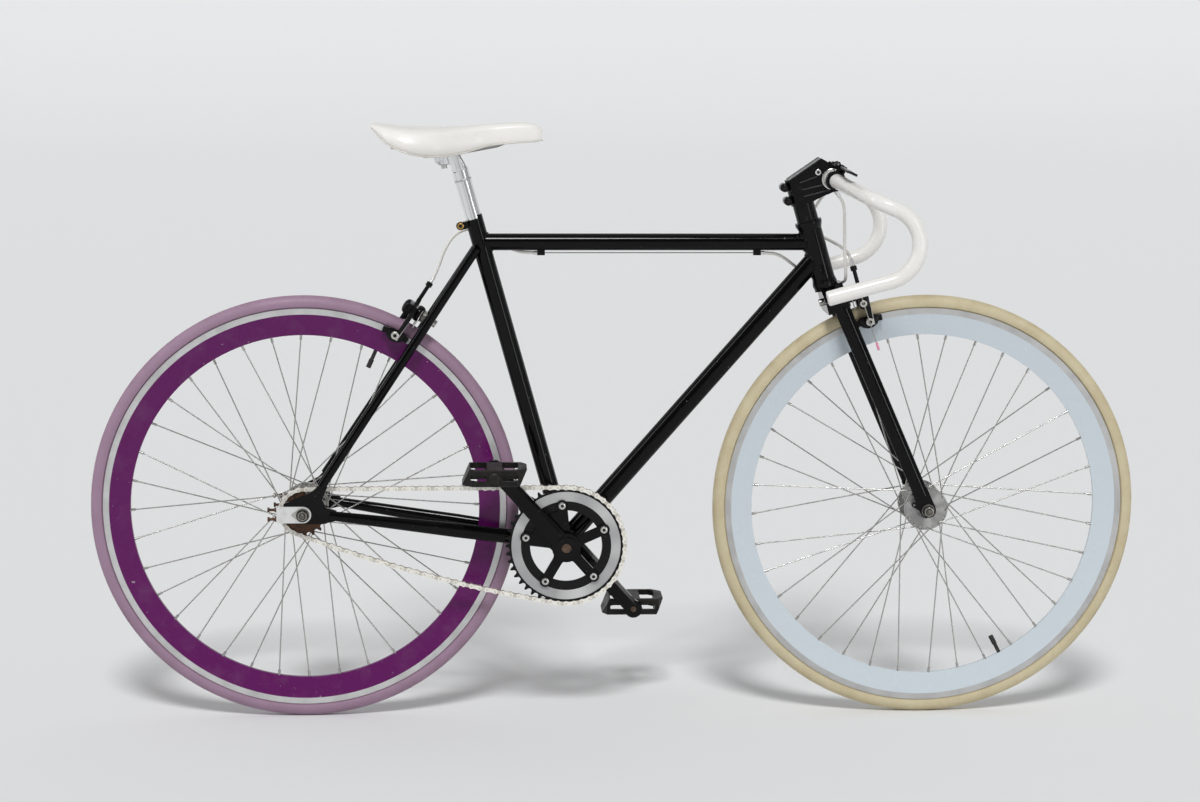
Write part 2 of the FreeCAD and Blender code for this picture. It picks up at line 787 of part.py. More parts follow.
def chain_pins():
    """Pins one pitch apart: down the chainring's front, along the slack run, round the sprocket and back."""
    pitch = size.chain_pitch
    run = math.sqrt(size.chain_stay_length ** 2 - (ring_radius - sprocket_radius) ** 2)
    top_links = round(run / pitch)
    ring_pin = polar(bracket, ring_radius, top_tangent)

    def spare(angle):
        return (polar(rear_axle, sprocket_radius, angle) - ring_pin).Length - top_links * pitch

    sprocket_start = solve(spare, top_tangent - sprocket_step, top_tangent + sprocket_step)
    ring_links = int((360 - foot_tangent + top_tangent) / ring_step)
    sprocket_links = int((foot_tangent - sprocket_start) / sprocket_step)
    ring_pins = [polar(bracket, ring_radius, top_tangent - ring_step * step)
                 for step in range(ring_links + 1)]
    sprocket_pins = [polar(rear_axle, sprocket_radius, sprocket_start + sprocket_step * step)
                     for step in range(sprocket_links + 1)]
    slack_from = ring_pins[-1]
    slack_to = sprocket_pins[-1]
    chord = slack_to - slack_from
    slack_links = math.ceil(chord.Length / pitch)
    slack_links += (top_links + ring_links + sprocket_links + slack_links) % 2

    def shortfall(bend):
        return chord.Length - pitch * math.sin(slack_links * bend / 2) / math.sin(bend / 2)

    bend = solve(shortfall, 1e-6, math.pi / slack_links)
    down = Vector(chord.z, 0, -chord.x).normalize()
    if down.z > 0:
        down = -down
    ahead = Vector(chord).normalize()
    slack_pins = []
    place = slack_from
    for step in range(slack_links - 1):
        dip = bend * ((slack_links - 1) / 2 - step)
        place = place + ahead * (pitch * math.cos(dip)) + down * (pitch * math.sin(dip))
        slack_pins.append(place)
    top_step = (ring_pin - sprocket_pins[0]) * (1.0 / top_links)
    top_pins = [sprocket_pins[0] + top_step * step for step in range(1, top_links)]
    print("chain links", top_links + ring_links + sprocket_links + slack_links,
          "slack", round(slack_links * pitch - chord.Length, 2), "mm")
    return ring_pins + slack_pins + sprocket_pins[::-1] + top_pins, sprocket_start


def toothed(centre, teeth, radius, start, thickness, face):
    """A flat toothed wheel: a round seat for each roller and a tapered tooth between seats."""
    step = 360.0 / teeth
    seat = size.tooth_seat_radius
    tip = radius + size.tooth_height
    tip_half = math.degrees(size.tooth_tip_half / tip)
    edges = []
    for number in range(int(teeth)):
        angle = start + number * step
        pin = polar(centre, radius, angle, face)
        outward = polar(Vector(), 1, angle)
        aside = polar(Vector(), 1, angle + 90)
        first = pin - aside * seat
        last = pin + aside * seat
        edges.append(Part.Arc(first, pin - outward * seat, last).toShape())
        tooth_near = polar(centre, tip, angle + step / 2 - tip_half, face)
        tooth_far = polar(centre, tip, angle + step / 2 + tip_half, face)
        following = polar(centre, radius, angle + step, face)
        following_aside = polar(Vector(), 1, angle + step + 90)
        edges += Part.makePolygon([last, tooth_near, tooth_far, following - following_aside * seat]).Edges
    return Part.Face(Part.Wire(edges)).extrude(ACROSS * thickness)


def chain_link(outer):
    """One link along X at the origin: two plates, with either two bushings or two pins."""
    pitch = size.chain_pitch
    half = size.chain_plate_half
    inner_face = size.chain_inner_half
    if outer:
        inner_face += size.chain_plate_thickness + size.chain_plate_gap
    ends = [Vector(0, 0, 0), Vector(pitch, 0, 0)]
    waist = size.chain_plate_waist
    sides = [Part.Arc(Vector(0, 0, half), Vector(pitch / 2, 0, waist), Vector(pitch, 0, half)).toShape(),
             Part.Arc(Vector(pitch, 0, half), Vector(pitch + half, 0, 0), Vector(pitch, 0, -half)).toShape(),
             Part.Arc(Vector(pitch, 0, -half), Vector(pitch / 2, 0, -waist), Vector(0, 0, -half)).toShape(),
             Part.Arc(Vector(0, 0, -half), Vector(-half, 0, 0), Vector(0, 0, half)).toShape()]
    face = Part.Face(Part.Wire(sides))
    pieces = []
    for side in SIDES:
        side_plate = face.extrude(ACROSS * side * size.chain_plate_thickness)
        side_plate.translate(ACROSS * side * inner_face)
        pieces.append(side_plate)
    reach = inner_face
    radius = size.roller_radius
    if outer:
        reach += size.chain_plate_thickness + size.chain_pin_overhang
        radius = size.chain_pin_radius
    for end in ends:
        pieces.append(Part.makeCylinder(radius, 2 * reach, end - ACROSS * reach, ACROSS))
    link = pieces[0].fuse(pieces[1:])
    if outer:
        return link
    hole = size.chain_pin_radius + size.running_clearance
    return link.cut([Part.makeCylinder(hole, 4 * reach, end - ACROSS * 2 * reach, ACROSS) for end in ends])


def chain():
    """The closed chain, inner and outer links in turn, as it lies on both toothed wheels."""
    pins, _ = chain_pins()
    kinds = (chain_link(True), chain_link(False))
    links = []
    for number, pin in enumerate(pins):
        following = pins[(number + 1) % len(pins)]
        link = kinds[number % 2].copy()
        link.Placement = Placement(pin - ACROSS * size.chain_line, Rotation(AHEAD, following - pin))
        links.append(link)
    return node("chain", feature("chain", Part.Compound(links)))


def ring_bolt_places():
    """Centres of the chainring bolts, with the crank halfway between two of them."""
    count = int(size.ring_bolt_count)
    step = 360.0 / count
    return [polar(bracket, size.ring_bolt_circle, size.crank_angle + step * (number + 0.5))
            for number in range(count)]


ring_back = -size.chain_line + size.ring_thickness / 2
ring_face = -size.chain_line - size.ring_thickness / 2
spider_face = ring_face - size.spider_thickness


def crank_shadow():
    """The strip of the chainring that lies behind the crank arm."""
    half = size.crank_root_width / 2 + size.body_gap
    aside = polar(Vector(), half, size.crank_angle + 90)
    foot = bracket + ACROSS * ring_face
    tip = foot + polar(Vector(), size.crank_length, size.crank_angle)
    return [prism([foot - aside, tip - aside, tip + aside, foot + aside], -ACROSS * size.body_gap)]


def chainring():
    """Toothed ring with a raised band on its face and five bolt holes."""
    disc = toothed(bracket, size.ring_teeth, ring_radius, top_tangent, size.ring_thickness, ring_face)
    centre = Vector(bracket.x, ring_face, bracket.z)
    band = Part.makeCylinder(size.ring_band_outer, size.ring_band_height + size.ring_thickness / 2,
                             centre + ACROSS * size.ring_thickness / 2, -ACROSS)
    band = band.cut(Part.makeCylinder(size.ring_band_inner, 2 * size.ring_thickness,
                                      centre + ACROSS * size.ring_thickness, -ACROSS))
    hole = Part.makeCylinder(size.ring_inner_radius, 4 * size.ring_thickness,
                             centre - ACROSS * 2 * size.ring_thickness, ACROSS)
    bolts = [Part.makeCylinder(size.ring_bolt_radius + size.running_clearance, 4 * size.ring_thickness,
                               place + ACROSS * (ring_face - 2 * size.ring_thickness), ACROSS)
             for place in ring_bolt_places()]
    seats = [Part.makeCylinder(size.spider_tab_radius + size.seat_gap, size.ring_thickness,
                               place + ACROSS * ring_face, -ACROSS) for place in ring_bolt_places()]
    return node("chainring", feature("chainring",
                                     disc.fuse(band.cut(seats + crank_shadow())).cut([hole] + bolts)))


def chainring_bolts():
    """Five bolts with round heads in front and sleeve nuts behind."""
    head = "ring_bolt_head_height"
    corners = [("0 * ring_bolt_radius", "-" + head), ("ring_bolt_head_radius", "-" + head),
               ("ring_bolt_head_radius", "0 * " + head), ("ring_bolt_radius", "0 * " + head),
               ("ring_bolt_radius", "ring_thickness + spider_thickness"),
               ("ring_bolt_head_radius", "ring_thickness + spider_thickness"),
               ("ring_bolt_head_radius", "ring_thickness + spider_thickness + " + head),
               ("0 * ring_bolt_radius", "ring_thickness + spider_thickness + " + head)]
    bolts = [turned("ring_bolt_%d" % number, [corners], place + ACROSS * spider_face, ACROSS)
             for number, place in enumerate(ring_bolt_places())]
    return node("chainring_bolts", group("chainring_bolts", bolts))


def sprocket():
    """Rear sprocket with a collar, and the lockring that keeps it on the hub."""
    _, start = chain_pins()
    bore = size.sprocket_boss_radius + size.running_clearance
    disc = toothed(rear_axle, size.sprocket_teeth, sprocket_radius, start, size.ring_thickness, ring_face)
    centre = Vector(rear_axle.x, ring_face, rear_axle.z)
    collar = Part.makeCylinder(size.sprocket_collar_radius, 2 * size.chain_plate_thickness, centre, -ACROSS)
    hole = Part.makeCylinder(bore, 4 * size.ring_thickness, centre + ACROSS * 2 * size.ring_thickness,
                             -ACROSS)
    toothed_part = disc.fuse(collar).cut(hole)
    ring_seat = centre - ACROSS * 2 * size.chain_plate_thickness
    ring = Part.makeCylinder(size.lockring_radius, size.lockring_width, ring_seat, -ACROSS)
    notches = []
    for number in range(3):
        notch = polar(rear_axle, size.lockring_radius, 120 * number, ring_seat.y)
        notches.append(Part.makeCylinder(size.chain_pin_radius, size.lockring_width, notch, -ACROSS))
    ring = ring.cut([hole] + notches)
    return node("rear_sprocket", feature("rear_sprocket", Part.Compound([toothed_part, ring])))


crank_line = polar(Vector(), 1, size.crank_angle)
crank_side = polar(Vector(), 1, size.crank_angle + 90)
pedal_y = size.crank_pedal_offset


def crank_arm(side):
    """Tapered arm from the spindle boss out to the pedal eye."""
    line = crank_line * (1 if side == RIGHT else -1)
    eye = bracket + line * size.crank_length
    half = size.crank_thickness / 2

    def section(distance, width, offset):
        middle = bracket + line * distance + ACROSS * side * offset
        corners = []
        for across, through in ((-1, -0.7), (-0.6, -1), (0.6, -1), (1, -0.7), (1, 0.7), (0.6, 1), (-0.6, 1),
                                (-1, 0.7)):
            corners.append(middle + crank_side * (across * width / 2) + ACROSS * side * (through * half))
        return Part.makePolygon(corners + [corners[0]])

    arm = Part.makeLoft([section(0, size.crank_root_width, size.crank_root_offset),
                         section(size.crank_length, size.crank_tip_width, pedal_y)], True, True)
    boss = Part.makeCylinder(size.crank_boss_radius, size.crank_boss_width,
                             bracket + ACROSS * side * (size.crank_root_offset - size.crank_boss_width / 2),
                             ACROSS * side)
    end = Part.makeCylinder(size.crank_eye_radius, size.crank_thickness,
                            eye + ACROSS * side * (pedal_y - half), ACROSS * side)
    end = end.makeChamfer(half / 4, [edge for edge in end.Edges if edge.Curve.TypeId == "Part::GeomCircle"])
    return arm.fuse([boss, end])


def crank_bores(side):
    """Holes for the spindle and the pedal axle."""
    line = crank_line * (1 if side == RIGHT else -1)
    eye = bracket + line * size.crank_length
    far = size.crank_pedal_offset * 2
    spindle = Part.makeCylinder(size.spindle_radius + size.running_clearance, 2 * far,
                                bracket - ACROSS * far, ACROSS)
    axle = Part.makeCylinder(size.pedal_axle_radius + size.running_clearance, 2 * far, eye - ACROSS * far,
                             ACROSS)
    return [spindle, axle]


def crank_right():
    """Drive-side crank with its five-armed spider."""
    arm = crank_arm(RIGHT)
    pieces = []
    inner = size.crank_root_offset - size.crank_boss_width / 2
    hub_face = bracket + ACROSS * spider_face
    disc = Part.makeCylinder(size.ring_inner_radius + size.body_gap, size.spider_thickness, hub_face, ACROSS)
    windows = []
    gap_half = math.radians(180.0 / size.ring_bolt_count)
    rounding = size.spider_window_radius
    window_depth = (size.spider_arm_width / 2 + rounding) / math.sin(gap_half)
    for number in range(1, int(size.ring_bolt_count)):
        middle = size.crank_angle + number * 360.0 / size.ring_bolt_count
        centre = polar(bracket, window_depth, middle, spider_face)
        edge_first = polar(Vector(), 1, middle - math.degrees(gap_half))
        edge_last = polar(Vector(), 1, middle + math.degrees(gap_half))
        first = centre + polar(Vector(), rounding, middle - math.degrees(gap_half) - 90.0)
        last = centre + polar(Vector(), rounding, middle + math.degrees(gap_half) + 90.0)
        reach = size.ring_inner_radius
        corners = [first, first + edge_first * reach, last + edge_last * reach, last, centre]
        windows.append(prism(corners, ACROSS * size.spider_thickness))
        windows.append(Part.makeCylinder(rounding, size.spider_thickness, centre, ACROSS))
    pieces.append(disc.cut(windows))
    for place in ring_bolt_places():
        tip = place + ACROSS * spider_face
        pieces.append(Part.makeCylinder(size.spider_tab_radius, size.spider_thickness, tip, ACROSS))
        reach = (place - bracket).normalize()
        aside = reach.cross(ACROSS).normalize() * (size.spider_arm_width / 2)
        root = tip - reach * (2 * size.spider_tab_radius)
        pieces.append(prism([root - aside, tip - aside, tip + aside, root + aside],
                            ACROSS * size.spider_thickness))
    hub = Part.makeCylinder(size.crank_boss_radius * 1.3, inner + spider_face + size.crank_boss_width,
                            bracket + ACROSS * (spider_face + size.spider_thickness), -ACROSS)
    bolts = [Part.makeCylinder(size.ring_bolt_radius + size.running_clearance, 4 * size.spider_thickness,
                               place + ACROSS * (spider_face - 2 * size.spider_thickness), ACROSS)
             for place in ring_bolt_places()]
    whole = arm.fuse(pieces + [hub]).cut(crank_bores(RIGHT) + bolts)
    return node("crank_arm_right", feature("crank_arm_right", whole))


def crank_left():
    """Plain crank on the left."""
    return node("crank_arm_left", feature("crank_arm_left", crank_arm(LEFT).cut(crank_bores(LEFT))))


def crank_axles():
    """Bottom bracket spindle with its two bolts, and both pedal axles."""
    head = "spindle_half + crank_bolt_height"
    corners = [("0 * spindle_radius", "-(%s)" % head), ("crank_bolt_radius", "-(%s)" % head),
               ("crank_bolt_radius", "-spindle_half"), ("spindle_radius", "-spindle_half"),
               ("spindle_radius", "spindle_half"), ("crank_bolt_radius", "spindle_half"),
               ("crank_bolt_radius", head), ("0 * spindle_radius", head)]
    pieces = [turned("crank_spindle", [corners], bracket, ACROSS)]
    root = "crank_pedal_offset - crank_thickness / 2"
    collar = "crank_pedal_offset + crank_thickness / 2"
    for side in SIDES:
        eye = bracket + crank_line * (size.crank_length * (1 if side == RIGHT else -1))
        tip = collar + " + pedal_collar_width + pedal_width - pedal_wall / 2"
        corners = [("0 * pedal_axle_radius", root), ("pedal_axle_radius", root),
                   ("pedal_axle_radius", collar),
                   ("pedal_collar_radius", collar),
                   ("pedal_collar_radius", collar + " + pedal_collar_width"),
                   ("pedal_axle_radius", collar + " + pedal_collar_width"), ("pedal_axle_radius", tip),
                   ("0 * pedal_axle_radius", tip)]
        pieces.append(turned("pedal_axle_" + SIDE_NAMES[side], [corners], eye, ACROSS * side))
    return node("crank_axles", group("crank_axles", pieces))


def pedal(side):
    """Moulded platform pedal: barrel, cage walls with slots, and clipped corners."""
    eye = bracket + crank_line * (size.crank_length * (1 if side == RIGHT else -1))
    start = pedal_y + size.crank_thickness / 2 + size.pedal_collar_width + size.body_gap
    half_length = size.pedal_length / 2
    half_height = size.pedal_height / 2
    clip = size.pedal_corner
    wall = size.pedal_wall
    base = eye + ACROSS * side * start
    out = ACROSS * side

    def place(length, width):
        return base + AHEAD * length + out * width - UP * half_height

    width = size.pedal_width
    corners = [place(-half_length + clip / 2, 0), place(half_length - clip / 2, 0), place(half_length, clip),
               place(half_length, width - clip), place(half_length - clip, width),
               place(-half_length + clip, width),
               place(-half_length, width - clip), place(-half_length, clip)]
    body = prism(corners, UP * size.pedal_height)
    rims = [edge for edge in body.Edges if abs(edge.tangentAt(edge.FirstParameter).z) < 0.1]
    body = body.makeChamfer(wall / 4, rims)
    windows = []
    inner = size.pedal_barrel_radius
    for end in (-1, 1):
        edge = base - out + AHEAD * (end * half_length)
        wedge = [edge - UP * (end * half_height), edge + UP * (end * half_height),
                 edge - UP * (end * half_height) - AHEAD * (end * size.pedal_lean)]
        windows.append(prism(wedge, out * (width + 2)))
        near = end * inner
        far = end * (half_length - wall - size.pedal_lean / 2)
        well = [place(near, wall), place(far, wall), place(far, width - clip),
                place(far - end * clip / 2, width - wall),
                place(near, width - wall)]
        windows.append(prism([corner - UP for corner in well], UP * (size.pedal_height + 2)))
        slot_near = end * (half_length - wall - size.pedal_lean / 2 - size.pedal_slot_length)
        slot_low = base - out + AHEAD * slot_near - UP * (size.pedal_slot_height / 2)
        slot = [slot_low, slot_low + AHEAD * end * size.pedal_slot_length,
                slot_low + AHEAD * end * size.pedal_slot_length + UP * size.pedal_slot_height,
                slot_low + UP * size.pedal_slot_height]
        windows.append(prism(slot, out * (width + 2)))
    barrel = Part.makeCylinder(size.pedal_barrel_radius, width, base, out)
    bore = Part.makeCylinder(size.pedal_axle_radius + size.running_clearance,
                             width - wall / 2 + size.body_gap, base, out)
    label = "pedal_" + SIDE_NAMES[side]
    return node(label, feature(label, body.cut(windows).fuse(barrel).cut(bore)))


chain()
chainring()
chainring_bolts()
sprocket()
crank_right()
crank_left()
crank_axles()
for one_side in SIDES:
    pedal(one_side)


# Frame

head_outer = rod("head_tube_outer", steer(head_foot), steer(head_top), "head_tube_radius")
head_bore = rod("head_tube_bore", steer(head_foot), steer(head_top), "head_tube_radius - head_tube_wall")
node("head_tube", cut("head_tube", head_outer, head_bore))

shell_half = ACROSS * (size.bracket_shell_width / 2)
shell_outer = rod("bracket_shell_outer", bracket - shell_half, bracket + shell_half, "bracket_shell_radius")
shell_bore = rod("bracket_shell_bore", bracket - shell_half, bracket + shell_half,
                 "bracket_cup_radius + running_clearance")
node("bottom_bracket_shell", cut("bottom_bracket_shell", shell_outer, shell_bore))

seat_outer = rod("seat_tube_outer", bracket, seat_top, "seat_tube_radius")
seat_bore = rod("seat_tube_bore", bracket, seat_top + seat_up, "seatpost_radius + running_clearance")


def seat_tube():
    """Seat tube with two clamp ears behind its slotted top."""
    ear = seat_top - seat_up * size.clamp_ear_drop + seat_back * size.clamp_ear_back
    ear_half = ACROSS * size.clamp_ear_half
    lug = rod("clamp_ear", ear - ear_half, ear + ear_half, "clamp_ear_radius")
    web = block("clamp_web", framed(ear, ACROSS, seat_up), "2 * clamp_ear_half", "2 * clamp_ear_radius",
                "clamp_ear_back")
    web.Placement = framed(ear, ACROSS, seat_up).multiply(
        Placement(Vector(-size.clamp_ear_half, -size.clamp_ear_radius, 0), Rotation()))
    slot = block("clamp_slot_cut", framed(seat_top, ACROSS, seat_up), "clamp_slot", "2 * clamp_slot_depth",
                 "2 * clamp_ear_back")
    hole = rod("clamp_bolt_hole", ear - ear_half * 2, ear + ear_half * 2,
               "clamp_bolt_radius + running_clearance")
    joined = fuse("seat_tube_blank", seat_outer, lug, web)
    slot.Placement = slot.Placement.multiply(Placement(Vector(0, 0, -2 * size.clamp_ear_back), Rotation()))
    step_frame = framed(seat_top - seat_up * size.seat_tube_tab, ACROSS, seat_up.cross(ACROSS))
    step = block("seat_tube_step", step_frame, "4 * seat_tube_radius", "4 * seat_tube_radius",
                 "2 * seat_tube_tab")
    step_back = Placement(seat_back * (size.seat_tube_radius * 1.5), Rotation())
    step.Placement = step_back.multiply(step.Placement)
    node("seat_tube", cut("seat_tube", joined, seat_bore, slot, hole, step, shell_outer))
    corners = [("0 * clamp_bolt_radius", "-clamp_ear_half - clamp_bolt_head_height"),
               ("clamp_bolt_head_radius", "-clamp_ear_half - clamp_bolt_head_height"),
               ("clamp_bolt_head_radius", "-clamp_ear_half"), ("clamp_bolt_radius", "-clamp_ear_half"),
               ("clamp_bolt_radius", "clamp_ear_half"), ("clamp_bolt_head_radius", "clamp_ear_half"),
               ("clamp_bolt_head_radius", "clamp_ear_half + clamp_bolt_head_height"),
               ("0 * clamp_bolt_radius", "clamp_ear_half + clamp_bolt_head_height")]
    node("seat_clamp_bolt", turned("seat_clamp_bolt", [corners], ear, ACROSS))


seat_tube()


def main_tube(label, start, end, radius, *cutters):
    """A hollow main tube, coped where it meets its neighbours."""
    outer = rod(label + "_outer", start, end, radius)
    bore = rod(label + "_bore", start, end, radius + " - tube_wall")
    return cut(label, outer, bore, *cutters), outer


top_start = lean_point(bracket, seat_up, size.top_tube_height)
top_end = lean_point(steer_foot, head_up, size.top_tube_height)
top_plain, top_outer = main_tube("top_tube_plain", top_start, top_end, "top_tube_radius", seat_outer,
                                 head_outer)
stop_z = size.top_tube_height - size.top_tube_radius - size.cable_stop_height
wire_z = stop_z + size.cable_stop_height / 2


def cable_stop(label, place_x, ahead):
    """A brazed stop under the top tube: drilled for the wire and counterbored for the housing."""
    base = Vector(place_x, 0, stop_z)
    stop = block(label, Placement(base, Rotation()), "cable_stop_length", "cable_stop_width",
                 "cable_stop_height + top_tube_radius")
    middle = Vector(place_x, 0, wire_z)
    reach = AHEAD * size.cable_stop_length
    hole = rod(label + "_wire_hole", middle - reach, middle + reach, "wire_radius + seat_gap")
    pocket = rod(label + "_pocket", middle, middle + reach * ahead, "cable_radius + seat_gap")
    return cut(label + "_whole", stop, hole, pocket, top_outer)


stops = [cable_stop("rear_cable_stop", size.cable_stop_rear, -1),
         cable_stop("front_cable_stop", size.cable_stop_front, 1)]
node("top_tube", fuse("top_tube", top_plain, *stops))

down_dir = Vector(lean_point(steer_foot, head_up, size.top_tube_height - 22) - bracket).normalize()
down_plain, down_outer = main_tube("down_tube", bracket,
                                   lean_point(steer_foot, head_up, size.top_tube_height - 22),
                                   "down_tube_radius", shell_outer, seat_outer, head_outer)
node("down_tube", down_plain)

drop_inner = size.rear_spacing / 2


def dropout(side):
    """Rear-facing track end: a plate with a long slot, and tabs for both stays."""
    slot = "rear_axle_radius + seat_gap"
    corners = [("-dropout_slot_rear", "17"), ("-8", "26"), ("seat_stay_foot_ahead - 12", "38"),
               ("seat_stay_foot_ahead + 2", "seat_stay_foot_rise + 8"),
               ("seat_stay_foot_ahead + 10", "seat_stay_foot_rise"),
               ("seat_stay_foot_ahead + 2", "24"), ("seat_stay_foot_ahead + 7", "11"), ("52", "6"),
               ("52", "-10"), ("seat_stay_foot_ahead + 2", "-15"), ("-dropout_slot_rear", "-14"),
               ("-dropout_slot_rear", "-(%s)" % slot), ("8", "-(%s)" % slot), ("8", slot),
               ("-dropout_slot_rear", slot)]
    start = drop_inner if side == RIGHT else -drop_inner - size.dropout_thickness
    frame = Placement(rear_axle - ACROSS * start, Rotation(AHEAD, 90))
    return plate("dropout_" + SIDE_NAMES[side], [corners], "dropout_thickness", frame)


dropouts = [dropout(side) for side in SIDES]
node("dropouts", group("dropouts", dropouts))


def ellipse(centre, normal, wide, tall):
    """An upright ellipse across a stay."""
    oval = Part.Ellipse(Vector(0, 0, 0), tall, wide).toShape()
    upright = (UP - normal * UP.dot(normal)).normalize()
    oval.Placement = framed(centre, upright, normal.cross(upright))
    return Part.Wire(oval)


def chain_stays():
    """Two ovalised hollow stays from the bracket shell to the dropouts, and their bridge."""
    solids = []
    bores = []
    for side in SIDES:
        front = bracket + Vector(-9, side * size.chain_stay_front_offset, 1)
        back = rear_axle + Vector(41, side * (drop_inner + size.dropout_thickness / 2), -2)
        line = (back - front).normalize()
        middle = front + (back - front) * 0.45
        wide = size.chain_stay_wide
        tall = size.chain_stay_tall
        tip = size.chain_stay_tip_radius
        wall = size.tube_wall
        stay = Part.makeLoft([ellipse(front, line, wide, tall), ellipse(middle, line, wide, tall),
                              ellipse(back, line, tip, tip)], True, True)
        closed = back - line * size.stay_end_length
        bore = Part.makeLoft([ellipse(front - line, line, wide - wall, tall - wall),
                              ellipse(middle, line, wide - wall, tall - wall),
                              ellipse(closed, line, tip - wall, tip - wall)], True, True)
        solids.append(stay)
        bores.append(bore)
    stay_dir = (bracket - rear_axle).normalize()
    bridge_at = rear_axle + stay_dir * size.stay_bridge_distance
    half = ACROSS * (size.chain_stay_front_offset * 1.3)
    bridge = Part.makeCylinder(size.stay_bridge_radius, 2 * half.Length, bridge_at - half, ACROSS)
    bridge = bridge.cut(solids)
    doc.recompute()
    shell = shell_outer.Shape
    plates = [item.Shape for item in dropouts]
    stays = [solid.cut([bore, shell] + plates) for solid, bore in zip(solids, bores)]
    return node("chain_stays", feature("chain_stays",
                                       Part.Compound([part for stay in stays + [bridge]
                                                      for part in stay.Solids])))


stay_head = lean_point(bracket, seat_up, size.seat_stay_top_height) - AHEAD * size.seat_stay_top_back
stay_foot = rear_axle + Vector(size.seat_stay_foot_ahead, 0, size.seat_stay_foot_rise)
stay_up = (stay_head - stay_foot).normalize()
stay_out = Vector(-stay_up.z, 0, stay_up.x)


def bridge_point():
    """Where the brake bridge crosses between the seat stays, clear of the tyre."""
    reach = size.pad_centre_radius + size.brake_reach - 2

    def short(distance):
        return (stay_foot + stay_up * distance - rear_axle).Length - reach

    return stay_foot + stay_up * solve(short, 0, (stay_head - stay_foot).Length)


rear_brake_at = bridge_point()


def seat_stays():
    """Two straight stays and the brake bridge between them."""
    solids = []
    for side in SIDES:
        foot = stay_foot + ACROSS * side * (drop_inner + size.dropout_thickness / 2)
        top = stay_head + ACROSS * side * size.seat_stay_top_offset
        solids.append(Part.makeCylinder(size.seat_stay_radius, (top - foot).Length, foot, top - foot))
    share = (rear_brake_at - stay_foot).Length / (stay_head - stay_foot).Length
    wide = drop_inner + size.dropout_thickness / 2
    half = ACROSS * (wide + (size.seat_stay_top_offset - wide) * share)
    bridge = Part.makeCylinder(size.bridge_radius, 2 * half.Length, rear_brake_at - half, ACROSS)
    hole = Part.makeCylinder(size.brake_bolt_radius + size.running_clearance, 6 * size.bridge_radius,
                             rear_brake_at - stay_out * (3 * size.bridge_radius), stay_out)
    bridge = bridge.cut(solids + [hole])
    plates = [item.Shape for item in dropouts]
    stays = [solid.cut([seat_outer.Shape, top_outer.Shape] + plates) for solid in solids]
    return node("seat_stays", feature("seat_stays",
                                      Part.Compound([part for stay in stays + [bridge]
                                                     for part in stay.Solids])))


chain_stays()
seat_stays()


def bracket_cups():
    """Two threaded bearing cups that carry the spindle."""
    edge = "bracket_shell_width / 2"
    bore = "spindle_radius + running_clearance"
    corners = [(bore, edge + " - bracket_cup_depth"), ("bracket_cup_radius", edge + " - bracket_cup_depth"),
               ("bracket_cup_radius", edge), ("bracket_shell_radius", edge),
               ("bracket_shell_radius", edge + " + bracket_cup_lip"), (bore, edge + " + bracket_cup_lip")]
    cups = [turned("bracket_cup_" + SIDE_NAMES[side], [corners], bracket, ACROSS * side) for side in SIDES]
    return node("bottom_bracket_cups", group("bottom_bracket_cups", cups))


def headset_cups():
    """Pressed cups above and below the head tube, each with a bearing round the steerer."""
    bore = "steerer_radius + running_clearance"
    pocket = "headset_bearing_radius + seat_gap / 2"

    def cup(name, stack, lip, base, axis):
        reach = stack + " - body_gap"
        floor = reach + " - headset_bearing_height"
        corners = [(pocket, floor), (pocket, reach), (lip, reach),
                   (lip, reach + " - headset_lip_height"),
                   ("head_tube_radius", "0 * head_tube_radius"),
                   (bore + " + seat_gap", "0 * head_tube_radius"), (bore + " + seat_gap", floor)]
        ring = [(bore, floor), ("headset_bearing_radius", floor), ("headset_bearing_radius", reach),
                (bore, reach)]
        return [turned(name + "_cup", [corners], base, axis), turned(name + "_bearing", [ring], base, axis)]

    pieces = cup("lower_headset", "headset_lower_stack", "headset_lower_lip_radius", steer(head_foot),
                 -head_up)
    pieces += cup("upper_headset", "headset_upper_stack", "headset_lip_radius", steer(head_top), head_up)
    return node("headset_cups", group("headset_cups", pieces))


bracket_cups()
headset_cups()


